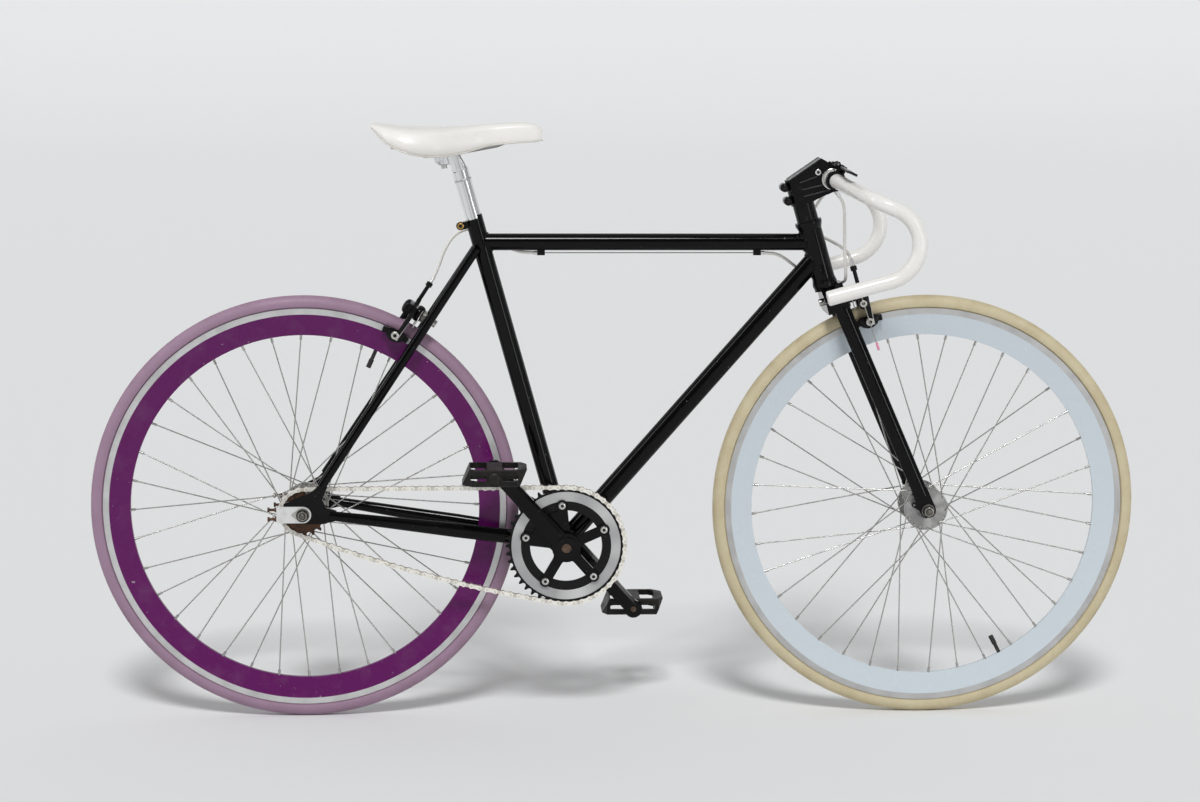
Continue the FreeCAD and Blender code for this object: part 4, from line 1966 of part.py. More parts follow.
grip_drop = size.bar_radius + size.lever_clamp_wall + size.body_gap
front_cable_start = lever_exit[LEFT] - UP * grip_drop
cable("front_brake_housing", [front_cable_start, front_cable_start - UP * 26.0, Vector(330.0, 27.0, 776.0),
                              Vector(346.0, 6.0, 753.0), Vector(360.0, -26.0, 746.0),
                              front_cable_end + head_up * 13.0, front_cable_end + head_up * size.seat_gap])
rear_cable_start = lever_exit[RIGHT] - UP * grip_drop
front_stop_mouth = Vector(size.cable_stop_front + size.body_gap, 0, wire_z)
cable("rear_brake_loop", [rear_cable_start, rear_cable_start - UP * 20.0, Vector(356.0, -38.0, 745.0),
                          Vector(363.0, -20.0, 708.0), Vector(364.0, 22.0, 699.0),
                          Vector(332.0, 38.0, 697.0),
                          Vector(290.0, 25.0, 712.0), Vector(258.0, 6.0, wire_z - 3.0),
                          front_stop_mouth + AHEAD * 14.0, front_stop_mouth])
rear_stop_mouth = Vector(size.cable_stop_rear - size.body_gap, 0, wire_z)
cable("rear_brake_housing", [rear_stop_mouth, rear_stop_mouth - AHEAD * 14.0, Vector(-160.0, 9.0, 742.0),
                             Vector(-190.0, 24.0, 760.0), Vector(-224.0, 28.0, 778.0),
                             Vector(-252.0, 31.0, 770.0),
                             Vector(-270.0, 34.0, 745.0), rear_cable_end + stay_up * 18.0,
                             rear_cable_end + stay_up * size.seat_gap])
node("rear_brake_wire", rod("rear_brake_wire", Vector(size.cable_stop_rear + size.body_gap, 0, wire_z),
                            Vector(size.cable_stop_front - size.body_gap, 0, wire_z), "wire_radius"))


# Check every object, then write one file for each sub-part

doc.recompute()
faults = [item.Name for item in doc.Objects if "Invalid" in item.State or "Error" in item.State]
for label, item in nodes.items():
    if item.Shape.isNull() or not item.Shape.isValid() or not item.Shape.Solids:
        faults.append(label)
if faults:
    raise RuntimeError("these failed: " + ", ".join(faults))
os.makedirs("parts", exist_ok=True)
for label, item in nodes.items():
    item.Shape.exportStep("parts/%s.step" % label)
print(len(nodes), "sub-parts written")
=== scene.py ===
from collections import namedtuple
import math

import bmesh
import bpy
from mathutils import Matrix, Vector


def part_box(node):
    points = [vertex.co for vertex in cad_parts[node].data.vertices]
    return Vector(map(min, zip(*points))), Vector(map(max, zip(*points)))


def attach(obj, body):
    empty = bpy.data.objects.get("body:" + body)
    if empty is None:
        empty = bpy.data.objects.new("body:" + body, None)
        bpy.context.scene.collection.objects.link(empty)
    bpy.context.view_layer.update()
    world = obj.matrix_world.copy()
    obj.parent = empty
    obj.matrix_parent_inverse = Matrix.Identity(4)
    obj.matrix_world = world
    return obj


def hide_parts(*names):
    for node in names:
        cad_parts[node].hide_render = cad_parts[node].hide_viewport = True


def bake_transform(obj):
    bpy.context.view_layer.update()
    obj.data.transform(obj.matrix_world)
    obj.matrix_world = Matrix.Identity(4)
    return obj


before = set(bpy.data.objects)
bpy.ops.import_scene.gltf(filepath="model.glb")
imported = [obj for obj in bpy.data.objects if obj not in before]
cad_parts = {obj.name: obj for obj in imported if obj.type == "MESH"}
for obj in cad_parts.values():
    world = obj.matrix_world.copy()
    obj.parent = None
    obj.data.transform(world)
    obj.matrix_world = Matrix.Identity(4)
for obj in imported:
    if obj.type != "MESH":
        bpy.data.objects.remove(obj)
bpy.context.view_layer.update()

bl_info = {
    "name": "Fixed gear bicycle finishes",
    "version": (1, 0, 0),
    "blender": (4, 5, 0),
    "location": "View3D > Sidebar > Bicycle",
    "description": "Dresses the bicycle's parts: paint, wheels, drive, saddle, cables and stage",
    "category": "Object",
}

# Places on the bicycle, in metres

REAR_AXLE = Vector((-0.49125, 0.0, 0.337))
FRONT_AXLE = Vector((0.49125, 0.0, 0.337))
BRACKET = Vector((-0.080065, 0.0, 0.2816))
STEER_FOOT = Vector((0.436005, 0.0, 0.321055))
SADDLE = Vector((-0.2652, 0.0, 0.8947))
POST_TOP = Vector((-0.2462, 0.0, 0.8737))
SEAT_CLAMP = Vector((-0.2447, 0.0, 0.7833))
BAR_CENTRE = Vector((0.3353, 0.0, 0.85747))
STEM_EARS = (Vector((0.268, 0.0, 0.8219)), Vector((0.2619, 0.0, 0.84305)))
FACE_BOLTS = (Vector((0.3575, 0.0, 0.8469)), Vector((0.3481, 0.0, 0.8797)))
PEDAL_ENDS = (Vector((-0.19315, -0.1572, 0.40853)), Vector((0.03302, 0.1572, 0.15467)))

# Directions

ACROSS = Vector((0.0, 1.0, 0.0))
UP = Vector((0.0, 0.0, 1.0))
HEAD_UP = Vector((-0.277315, 0.0, 0.960779))
HEAD_AHEAD = Vector((0.960779, 0.0, 0.277315))
SEAT_UP = Vector((-0.27012, 0.0, 0.96283))
STAY_UP = Vector((0.5513, 0.0, 0.8343))
STAY_OUT = Vector((-0.8343, 0.0, 0.5513))
RIGHT = -1.0
LEFT = 1.0
SIDES = (("right", RIGHT), ("left", LEFT))

# Zones as distances from an axle, in metres

BRAKE_TRACK = (0.3075, 0.318)
TREAD = (0.3305, 0.3345)
SILVER_BAND = (0.0712, 0.0861)
TOOTH_TIPS = (0.0945, 0.0965)
RING_BOLT_CIRCLE = 0.065

# Zones as distances from the middle plane of a wheel or of the chain, in metres

RIM_SIDE = 0.0086
CHAIN_ROLLER = (0.0021, 0.0027)
INNER_PLATE = (0.00272, 0.0029)
PIN_HEAD = (0.0039, 0.0041)


def shade(red, green, blue):
    """A colour written in screen values from 0 to 255, as the linear colour of a shader."""
    parts = []
    for value in (red, green, blue):
        part = value / 255.0
        parts.append(part / 12.92 if part <= 0.04045 else ((part + 0.055) / 1.055) ** 2.4)
    return (parts[0], parts[1], parts[2], 1.0)


def colour(label, words, default):
    """A colour that a user can set."""
    return bpy.props.FloatVectorProperty(name=label, description=words, subtype="COLOR", size=4,
                                         min=0.0, max=1.0, default=default)


def distance(label, words, default):
    """A length that a user can set, in metres."""
    return bpy.props.FloatProperty(name=label, description=words, subtype="DISTANCE", unit="LENGTH",
                                   min=0.0, precision=4, default=default)


def strength(label, words, default):
    """A strength of light that a user can set."""
    return bpy.props.FloatProperty(name=label, description=words, min=0.0, default=default)


# Settings

class BicycleColours(bpy.types.PropertyGroup):
    """Colours of the bicycle's finishes"""

    black_paint: colour("Black paint", "Frame, fork, stem and cranks", shade(5, 5, 6))
    white_paint: colour("White paint", "Handlebar and its plugs", shade(236, 234, 230))
    white_vinyl: colour("White vinyl", "Saddle cover", shade(238, 236, 232))
    purple_rim: colour("Purple rim", "Rear rim's painted walls", shade(92, 14, 88))
    white_rim: colour("White rim", "Front rim's painted walls", shade(198, 208, 214))
    mauve_tyre: colour("Mauve tyre", "Rear tyre's rubber", shade(153, 124, 146))
    cream_tyre: colour("Cream tyre", "Front tyre's rubber", shade(199, 188, 156))
    silver: colour("Silver", "Hubs, seatpost and machined tracks", shade(198, 198, 196))
    chain_paint: colour("Chain paint", "Painted chain plates", shade(236, 234, 226))
    rust: colour("Rust", "Sprocket and old bolts", shade(94, 63, 43))
    pedal_plastic: colour("Pedal plastic", "Worn pedal bodies", shade(19, 18, 17))
    brass: colour("Brass", "Seat clamp bolt", shade(176, 142, 84))
    end_cap: colour("End cap", "Crimped cap on the front inner wire", shade(228, 150, 176))


class BicycleSizes(bpy.types.PropertyGroup):
    """Sizes of the dressed pieces"""

    housing: distance("Housing", "Diameter of a brake cable's housing", 0.005)
    wire: distance("Wire", "Diameter of an inner wire", 0.0016)
    weld: distance("Weld", "Radius of a weld bead", 0.0021)
    saddle_wall: distance("Saddle wall", "Thickness of the padded cover at its edge", 0.004)
    piping: distance("Piping", "Diameter of the cord along the saddle's lower edge", 0.0026)
    front_housing: distance("Front housing", "Length of the front brake's housing", 0.183)
    rear_loop: distance("Rear loop", "Length of the rear brake's housing at the head tube", 0.345)
    rear_housing: distance("Rear housing", "Length of the rear brake's housing at the seat tube", 0.236)


class BicycleStage(bpy.types.PropertyGroup):
    """Floor, light and camera"""

    floor: colour("Floor", "Pale floor", shade(243, 244, 245))
    sun: strength("Sun", "Strength of the wide soft sun", 1.7)
    lamp: bpy.props.FloatProperty(name="Lamp", description="Power of each strip lamp", subtype="POWER",
                                  unit="POWER", min=0.0, default=20.0)
    surround: strength("Surround", "Strength of the even light all round", 0.46)
    lens: bpy.props.FloatProperty(name="Lens", description="Focal length on a 36 mm wide sensor",
                                  subtype="DISTANCE_CAMERA", unit="CAMERA", min=1.0, default=79.65)


# Materials

class Finish:
    """A material under construction, with its shader and its patterns in the bicycle's own coordinates."""

    def __init__(self, name, base, rough, metal=0.0, coat=0.0, specular=0.5):
        self.material = bpy.data.materials.new(name)
        self.material.use_nodes = True
        self.tree = self.material.node_tree
        self.shader = self.tree.nodes["Principled BSDF"]
        self.set("Base Color", base)
        self.set("Roughness", rough)
        self.set("Metallic", metal)
        self.set("Coat Weight", coat)
        self.set("Coat Roughness", 0.06)
        self.set("Specular IOR Level", specular)
        self.material.diffuse_color = base
        self.coordinates = self.node("ShaderNodeTexCoord").outputs["Object"]

    def feed(self, socket, value):
        """A plain value on a socket, or a link to it."""
        if isinstance(value, bpy.types.NodeSocket):
            self.tree.links.new(value, socket)
        else:
            socket.default_value = value

    def set(self, name, value):
        """A plain value on the shader's socket of that name, or a link to it."""
        self.feed(self.shader.inputs[name], value)

    def node(self, kind, **values):
        """A new node with some of its values set."""
        made = self.tree.nodes.new(kind)
        for key, value in values.items():
            setattr(made, key, value)
        return made

    def about(self, centre=(0, 0, 0), scale=(1, 1, 1), turn=(0, 0, 0)):
        """Coordinates moved to a centre, then turned and stretched."""
        moved = self.node("ShaderNodeVectorMath", operation="SUBTRACT")
        self.feed(moved.inputs[0], self.coordinates)
        moved.inputs[1].default_value = centre
        mapping = self.node("ShaderNodeMapping")
        self.feed(mapping.inputs["Vector"], moved.outputs[0])
        mapping.inputs["Rotation"].default_value = turn
        stretched = self.node("ShaderNodeVectorMath", operation="MULTIPLY")
        self.feed(stretched.inputs[0], mapping.outputs["Vector"])
        stretched.inputs[1].default_value = scale
        return stretched.outputs[0]

    def maths(self, operation, first, second=0.0):
        """Two values worked into one."""
        made = self.node("ShaderNodeMath", operation=operation)
        self.feed(made.inputs[0], first)
        self.feed(made.inputs[1], second)
        return made.outputs[0]

    def noise(self, scale, detail=3.0, rough=0.55, vector=None):
        """Cloudy noise from 0 to 1."""
        made = self.node("ShaderNodeTexNoise")
        self.feed(made.inputs["Vector"], vector or self.coordinates)
        made.inputs["Scale"].default_value = scale
        made.inputs["Detail"].default_value = detail
        made.inputs["Roughness"].default_value = rough
        return made.outputs["Fac"]

    def cells(self, scale):
        """Distance to the nearest of many scattered points."""
        made = self.node("ShaderNodeTexVoronoi")
        self.feed(made.inputs["Vector"], self.coordinates)
        made.inputs["Scale"].default_value = scale
        return made.outputs["Distance"]

    def between(self, value, low, high, start=0.0, end=1.0):
        """A value spread from low..high to start..end, and held at the ends."""
        made = self.node("ShaderNodeMapRange", clamp=True)
        self.feed(made.inputs["Value"], value)
        for socket, number in (("From Min", low), ("From Max", high), ("To Min", start), ("To Max", end)):
            made.inputs[socket].default_value = number
        return made.outputs["Result"]

    def patches(self, scale, detail, rough, low, high, start=0.0, end=1.0):
        """Noise spread from low..high to start..end."""
        return self.between(self.noise(scale, detail, rough), low, high, start, end)

    def within(self, value, low, high):
        """1 where the value lies between low and high, and 0 elsewhere."""
        return self.maths("MULTIPLY", self.maths("GREATER_THAN", value, low),
                          self.maths("LESS_THAN", value, high))

    def mixed(self, share, first, second):
        """The first colour or value, with a share of the second."""
        made = self.node("ShaderNodeMix", data_type="RGBA")
        self.feed(made.inputs[0], share)
        self.feed(made.inputs[6], first)
        self.feed(made.inputs[7], second)
        return made.outputs[2]

    def axle_distance(self, centre):
        """Distance from a line across the bicycle through the centre."""
        made = self.node("ShaderNodeVectorMath", operation="LENGTH")
        self.feed(made.inputs[0], self.about(centre, (1, 0, 1)))
        return made.outputs["Value"]

    def across(self, centre=0.0):
        """Distance to either side of a plane along the bicycle."""
        parts = self.node("ShaderNodeSeparateXYZ")
        self.feed(parts.inputs[0], self.coordinates)
        return self.maths("ABSOLUTE", self.maths("SUBTRACT", parts.outputs["Y"], centre))

    def node_vector(self, value):
        """A value as the only coordinate of a pattern."""
        made = self.node("ShaderNodeCombineXYZ")
        self.feed(made.inputs["X"], value)
        return made.outputs["Vector"]

    def painted_reflection_sectors(self, centre):
        """Painted reflection: bright and dull sectors about an axle, standing in for the glints of brushed
        and turned metal.
        """
        aim = self.node("ShaderNodeVectorMath", operation="NORMALIZE")
        self.feed(aim.inputs[0], self.about(centre, (1, 0, 1)))
        return self.between(self.noise(1.1, 1.0, 0.5, aim.outputs[0]), 0.38, 0.62)

    def bump(self, height, depth, strength):
        """Fine relief of a depth in metres on the shader's normal."""
        made = self.node("ShaderNodeBump")
        made.inputs["Strength"].default_value = strength
        made.inputs["Distance"].default_value = depth
        self.feed(made.inputs["Height"], height)
        self.set("Normal", made.outputs["Normal"])


def black_gloss(name, base):
    """Black gloss paint with dust, fine orange peel and a few chips."""
    finish = Finish(name, base, 0.1, specular=0.17)
    dust = finish.patches(7.0, 5.0, 0.62, 0.5, 0.78, 0.0, 0.025)
    dusty = finish.mixed(dust, base, shade(92, 90, 87))
    chips = finish.patches(230.0, 2.0, 0.55, 0.755, 0.77)
    finish.set("Base Color", finish.mixed(chips, dusty, shade(128, 127, 124)))
    finish.set("Roughness", finish.patches(24.0, 4.0, 0.55, 0.35, 0.75, 0.05, 0.13))
    finish.bump(finish.noise(520.0, 2.0), 0.0001, 0.15)
    return finish.material


def black_satin(name, base, worn=0.25):
    """Black anodised or moulded metal, rubbed bright in places."""
    finish = Finish(name, base, 0.26, specular=0.18)
    rubbed = finish.patches(90.0, 6.0, 0.7, 0.6, 0.78, 0.0, worn * 0.7)
    finish.set("Base Color", finish.mixed(rubbed, base, shade(120, 120, 118)))
    finish.set("Roughness", finish.patches(160.0, 4.0, 0.55, 0.3, 0.75, 0.16, 0.32))
    finish.bump(finish.noise(700.0, 3.0), 0.0001, 0.3)
    return finish.material


def white_gloss(name, base, coat=0.4):
    """White gloss paint or plastic, a little grimy where hands and dust reach it."""
    finish = Finish(name, base, 0.24, coat=coat)
    grime = finish.patches(18.0, 6.0, 0.6, 0.52, 0.85, 0.0, 0.34)
    marked = finish.mixed(grime, base, shade(205, 198, 184))
    specks = finish.patches(310.0, 2.0, 0.55, 0.74, 0.76, 0.0, 0.75)
    finish.set("Base Color", finish.mixed(specks, marked, shade(120, 114, 104)))
    finish.set("Roughness", finish.patches(40.0, 4.0, 0.55, 0.3, 0.8, 0.18, 0.36))
    finish.bump(finish.noise(430.0, 2.0), 0.0001, 0.2)
    return finish.material


def silver_turned(name, base, centre=(0, 0, 0), dull=0.0, painted_glint=0.0):
    """Turned alloy with fine rings about an axle, tarnished in patches, and with a glint share darkened in
    sectors about the axle as a painted reflection.
    """
    finish = Finish(name, base, 0.3, metal=0.75)
    tarnish = finish.patches(60.0, 5.0, 0.65, 0.5, 0.85, 0.0, 0.4 + dull)
    toned = finish.mixed(tarnish, base, shade(120, 116, 110))
    # With a glint share, dark sectors about the axle are painted into the colour as a painted reflection.
    if painted_glint:
        painted_dull_sectors = finish.maths("MULTIPLY", finish.painted_reflection_sectors(centre), painted_glint)
        toned = finish.mixed(painted_dull_sectors, toned, shade(84, 84, 84))
    finish.set("Base Color", toned)
    rings = finish.noise(1.0, 2.0, 0.5, finish.about(centre, (30.0, 1400.0, 30.0)))
    finish.set("Roughness", finish.between(rings, 0.25, 0.75, 0.24 + dull, 0.46 + dull))
    finish.bump(rings, 0.0001, 0.2)
    return finish.material


def silver_painted_streaks(name, base, tilt):
    """Polished tube with bright and dull streaks along its length, painted into its colour as a reflection.
    """
    finish = Finish(name, base, 0.2, metal=1.0)
    along = finish.about((0, 0, 0), (420.0, 420.0, 4.0), (0.0, tilt, 0.0))
    streaks = finish.noise(1.0, 3.0, 0.5, along)
    # The dull streaks in the colour are a painted reflection; the same noise also sets roughness and bumps.
    dull = finish.between(streaks, 0.45, 0.7, 0.0, 0.8)
    finish.set("Base Color", finish.mixed(dull, base, shade(128, 128, 130)))
    finish.set("Roughness", finish.between(streaks, 0.3, 0.75, 0.12, 0.3))
    finish.bump(streaks, 0.00005, 0.15)
    return finish.material


def steel(name, base, rough=0.26, spots=0.35):
    """Bright steel with small brown spots."""
    finish = Finish(name, base, rough, metal=1.0)
    browned = finish.patches(240.0, 4.0, 0.6, 0.58, 0.76, 0.0, spots)
    finish.set("Base Color", finish.mixed(browned, base, shade(104, 84, 66)))
    finish.set("Roughness", finish.patches(150.0, 3.0, 0.55, 0.3, 0.8, rough - 0.06, rough + 0.2))
    finish.bump(finish.noise(900.0, 2.0), 0.00005, 0.2)
    return finish.material


def rusted(name, base):
    """Brown rust over steel, dark in the pits and bare on the rubbed spots."""
    finish = Finish(name, base, 0.7, metal=0.35)
    pits = finish.noise(140.0, 6.0, 0.68)
    browned = finish.mixed(finish.between(pits, 0.36, 0.6), shade(52, 36, 28), base)
    bare = finish.patches(420.0, 3.0, 0.55, 0.62, 0.72, 0.0, 0.6)
    finish.set("Base Color", finish.mixed(bare, browned, shade(150, 138, 124)))
    finish.set("Roughness", finish.between(pits, 0.3, 0.75, 0.5, 0.88))
    finish.bump(pits, 0.0003, 0.5)
    return finish.material


def rim_walls(name, paint, track, axle):
    """Painted rim with a machined brake track."""
    finish = Finish(name, paint, 0.26, specular=0.28)
    reach = finish.axle_distance(axle)
    side = finish.maths("GREATER_THAN", finish.across(), RIM_SIDE)
    bared = finish.maths("MULTIPLY", finish.within(reach, *BRAKE_TRACK), side)
    chalk = finish.patches(26.0, 6.0, 0.65, 0.5, 0.85, 0.0, 0.07)
    painted = finish.mixed(chalk, paint, shade(188, 176, 184))
    nicks = finish.patches(190.0, 2.0, 0.55, 0.75, 0.765, 0.0, 0.8)
    painted = finish.mixed(nicks, painted, shade(208, 206, 204))
    rings = finish.noise(1400.0, 2.0, 0.5, finish.node_vector(reach))
    worn = finish.patches(30.0, 5.0, 0.55, 0.4, 0.8, 0.0, 0.4)
    metal = finish.mixed(worn, track, shade(128, 127, 126))
    finish.set("Base Color", finish.mixed(bared, painted, metal))
    finish.set("Metallic", finish.maths("MULTIPLY", bared, 0.6))
    gloss = finish.patches(36.0, 4.0, 0.55, 0.3, 0.8, 0.18, 0.34)
    milled = finish.between(rings, 0.3, 0.7, 0.26, 0.5)
    finish.set("Roughness", finish.mixed(bared, gloss, milled))
    finish.bump(finish.maths("MULTIPLY", rings, bared), 0.00012, 0.35)
    return finish.material


def tyre_rubber(name, rubber, grime, axle):
    """Coloured rubber: smooth side walls, a scuffed tread and grime in patches."""
    finish = Finish(name, rubber, 0.62)
    reach = finish.axle_distance(axle)
    tread = finish.between(reach, *TREAD)
    stains = finish.patches(22.0, 7.0, 0.68, 0.4, 0.72)
    soiled = finish.maths("MULTIPLY", stains, finish.between(tread, 0.0, 1.0, 0.34, 0.62))
    base = finish.mixed(soiled, rubber, grime)
    scuffs = finish.patches(260.0, 4.0, 0.7, 0.6, 0.74, 0.0, 0.35)
    finish.set("Base Color", finish.mixed(scuffs, base, grime))
    finish.set("Roughness", finish.between(stains, 0.0, 1.0, 0.5, 0.8))
    lines = finish.noise(900.0, 2.0, 0.5, finish.node_vector(reach))
    grain = finish.noise(850.0, 3.0)
    finish.bump(finish.maths("ADD", finish.maths("MULTIPLY", lines, 0.6), grain), 0.00025, 0.5)
    return finish.material


def chain_links(name, paint, line):
    """Painted side plates with oily grime, inner plates greyed as painted shade between the outer plates,
    darker pins, and dark rollers between.
    """
    finish = Finish(name, paint, 0.4, coat=0.15)
    grime = finish.patches(170.0, 6.0, 0.7, 0.48, 0.78, 0.0, 0.6)
    plates = finish.mixed(grime, paint, shade(150, 138, 116))
    aside = finish.across(line)
    # Inner plates are greyed as painted shade where they sit between the outer plates.
    inner = finish.between(aside, *INNER_PLATE, 0.5, 0.0)
    pins = finish.between(aside, *PIN_HEAD, 0.0, 0.4)
    plates = finish.mixed(finish.maths("MAXIMUM", inner, pins), plates, shade(168, 160, 146))
    inside = finish.between(aside, *CHAIN_ROLLER, 1.0, 0.0)
    finish.set("Base Color", finish.mixed(inside, plates, shade(116, 98, 78)))
    finish.set("Metallic", finish.maths("MULTIPLY", inside, 0.6))
    finish.set("Roughness", finish.between(grime, 0.0, 0.75, 0.3, 0.62))
    finish.bump(finish.noise(800.0, 3.0), 0.0001, 0.3)
    return finish.material


def ring_zones(name, black, silver):
    """Chainring: black carrier, brushed silver band darkened in sectors as a painted reflection, and black
    teeth worn at their tips.
    """
    finish = Finish(name, black, 0.3, specular=0.25)
    reach = finish.axle_distance(BRACKET)
    worn = finish.patches(300.0, 4.0, 0.55, 0.4, 0.6)
    tips = finish.maths("MULTIPLY", finish.between(reach, *TOOTH_TIPS, 0.0, 0.5), worn)
    bare = finish.maths("MAXIMUM", finish.within(reach, *SILVER_BAND), tips)
    rings = finish.noise(1500.0, 2.0, 0.5, finish.node_vector(reach))
    brushed_and_painted_sectors = finish.mixed(finish.between(rings, 0.3, 0.75), silver, shade(176, 176, 176))
    # The band's dull sectors are a painted reflection; the fine rings are its brushing.
    painted_dull_sectors = finish.maths("MULTIPLY", finish.painted_reflection_sectors(BRACKET), 0.6)
    brushed_and_painted_sectors = finish.mixed(painted_dull_sectors, brushed_and_painted_sectors, shade(128, 128, 130))
    marks = finish.patches(120.0, 5.0, 0.7, 0.62, 0.75, 0.0, 0.3)
    dark = finish.mixed(marks, black, shade(110, 108, 104))
    finish.set("Base Color", finish.mixed(bare, dark, brushed_and_painted_sectors))
    finish.set("Metallic", finish.maths("MULTIPLY", bare, 0.3))
    finish.set("Roughness", finish.between(rings, 0.25, 0.75, 0.25, 0.42))
    finish.bump(rings, 0.00008, 0.25)
    return finish.material


def worn_plastic(name, base):
    """Moulded plastic, greyed and scratched by shoes."""
    finish = Finish(name, base, 0.5, specular=0.22)
    scuffs = finish.patches(70.0, 7.0, 0.72, 0.46, 0.78, 0.0, 0.3)
    scraped = finish.mixed(scuffs, base, shade(72, 65, 58))
    slanted = finish.about((0, 0, 0), (900.0, 60.0, 300.0), (0.3, 0.5, 0.2))
    scratches = finish.between(finish.noise(1.0, 4.0, 0.6, slanted), 0.66, 0.74, 0.0, 0.22)
    finish.set("Base Color", finish.mixed(scratches, scraped, shade(130, 125, 118)))
    finish.set("Roughness", finish.between(scuffs, 0.0, 0.3, 0.42, 0.74))
    finish.bump(finish.noise(420.0, 4.0), 0.0003, 0.5)
    return finish.material


def rubber(name, base):
    """Plain black rubber with a dusty bloom."""
    finish = Finish(name, base, 0.8)
    bloom = finish.patches(90.0, 5.0, 0.55, 0.4, 0.75, 0.0, 0.4)
    finish.set("Base Color", finish.mixed(bloom, base, shade(84, 82, 79)))
    finish.bump(finish.noise(900.0, 3.0), 0.0002, 0.4)
    return finish.material


def grime_and_painted_shade():
    """Near-black grime with painted shade, for the insides of sockets and the ring and face disc of the
    axle nuts; made once.
    """
    return bpy.data.materials.get("grime_and_painted_shade") or rubber("grime_and_painted_shade", shade(16, 15, 14))


def vinyl(name, base):
    """Saddle cover: glossy white vinyl with a fine grain, greyed towards its lower edge."""
    finish = Finish(name, base, 0.34, coat=0.22)
    parts = finish.node("ShaderNodeSeparateXYZ")
    finish.feed(parts.inputs[0], finish.coordinates)
    low = finish.between(parts.outputs["Z"], SADDLE.z + 0.004, SADDLE.z + 0.02, 0.3, 0.0)
    grime = finish.patches(30.0, 6.0, 0.65, 0.5, 0.8, 0.0, 0.25)
    finish.set("Base Color", finish.mixed(finish.maths("MAXIMUM", low, grime), base, shade(206, 200, 190)))
    finish.set("Roughness", finish.patches(45.0, 4.0, 0.55, 0.3, 0.75, 0.26, 0.44))
    finish.bump(finish.cells(1500.0), 0.00016, 0.3)
    return finish.material


# Shared helpers

def cover(material, *names):
    """One material all over some CAD nodes."""
    for name in names:
        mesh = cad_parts[name].data
        mesh.materials.clear()
        mesh.materials.append(material)


def cover_where(name, *zones):
    """Several materials on one CAD node: each zone is a material and a test of a face's centre."""
    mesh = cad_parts[name].data
    mesh.materials.clear()
    for material, _ in zones:
        mesh.materials.append(material)
    for face in mesh.polygons:
        for number, (_, test) in enumerate(zones):
            if test(face.center):
                face.material_index = number
                break


def anywhere(place):
    """The test of a zone that takes every face left over."""
    return True


def new_piece(name, mesh, body, material):
    """A finished mesh as a piece that rides on a body, if one is given."""
    piece = bpy.data.objects.new(name, mesh)
    bpy.context.scene.collection.objects.link(piece)
    piece.data.materials.append(material)
    if body:
        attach(piece, body)
    return piece


def smooth(mesh):
    """A mesh with all its faces shaded smooth."""
    for face in mesh.polygons:
        face.use_smooth = True
    return mesh


def mesh_of(work, name):
    """A mesh from a bmesh, with its doubles merged and its faces outwards."""
    bmesh.ops.remove_doubles(work, verts=work.verts, dist=0.00001)
    bmesh.ops.recalc_face_normals(work, faces=work.faces)
    mesh = bpy.data.meshes.new(name)
    work.to_mesh(mesh)
    work.free()
    return smooth(mesh)


def route_curve(name, points, radius, closed=False, sides=6):
    """A round cord on one smooth spline through the route."""
    curve = bpy.data.curves.new(name, "CURVE")
    curve.dimensions = "3D"
    curve.resolution_u = 10
    curve.bevel_depth = radius
    curve.bevel_resolution = sides
    curve.use_fill_caps = not closed
    spline = curve.splines.new("NURBS")
    spline.points.add(len(points) - 1)
    for place, point in zip(spline.points, points):
        place.co = (*point, 1.0)
    spline.use_cyclic_u = closed
    spline.order_u = 3
    spline.use_endpoint_u = not closed
    return curve


def curve_mesh(name, curve):
    """A curve made a mesh; the curve itself is removed."""
    holder = bpy.data.objects.new(name, curve)
    mesh = bpy.data.meshes.new_from_object(holder)
    bpy.data.objects.remove(holder)
    bpy.data.curves.remove(curve)
    mesh.name = name
    return mesh


def route_points(points):
    """Places read along the route's own spline."""
    line = curve_mesh("route", route_curve("route", points, 0.0))
    places = [tuple(vertex.co) for vertex in line.vertices]
    bpy.data.meshes.remove(line)
    return places


def tube_mesh(name, points, radius, closed=False, sides=6):
    """A cord's spline as a mesh tube."""
    return smooth(curve_mesh(name, route_curve(name, points, radius, closed, sides)))


def ringed(profile):
    """A profile closed on itself, to be turned into a ring."""
    return profile + profile[:1]


def placed(centre, axis):
    """A place whose upward direction is the axis."""
    turn = UP.rotation_difference(Vector(axis))
    return Matrix.Translation(centre) @ turn.to_matrix().to_4x4()


def turned_mesh(name, profile, centre, axis, steps=32):
    """A profile of radius and height, turned about an axis."""
    work = bmesh.new()
    points = [work.verts.new((radius, 0.0, height)) for radius, height in profile]
    edges = [work.edges.new(pair) for pair in zip(points, points[1:])]
    bmesh.ops.spin(work, geom=points + edges, cent=(0, 0, 0), axis=UP, angle=math.tau,
                   steps=steps, use_merge=True)
    bmesh.ops.transform(work, matrix=placed(centre, axis), verts=work.verts)
    return mesh_of(work, name)


def round_edges(work, edges, offset):
    """Edges rounded in two steps."""
    bmesh.ops.bevel(work, geom=list(edges), offset=offset, offset_type="OFFSET", segments=2, profile=0.5,
                    affect="EDGES", material=-1)


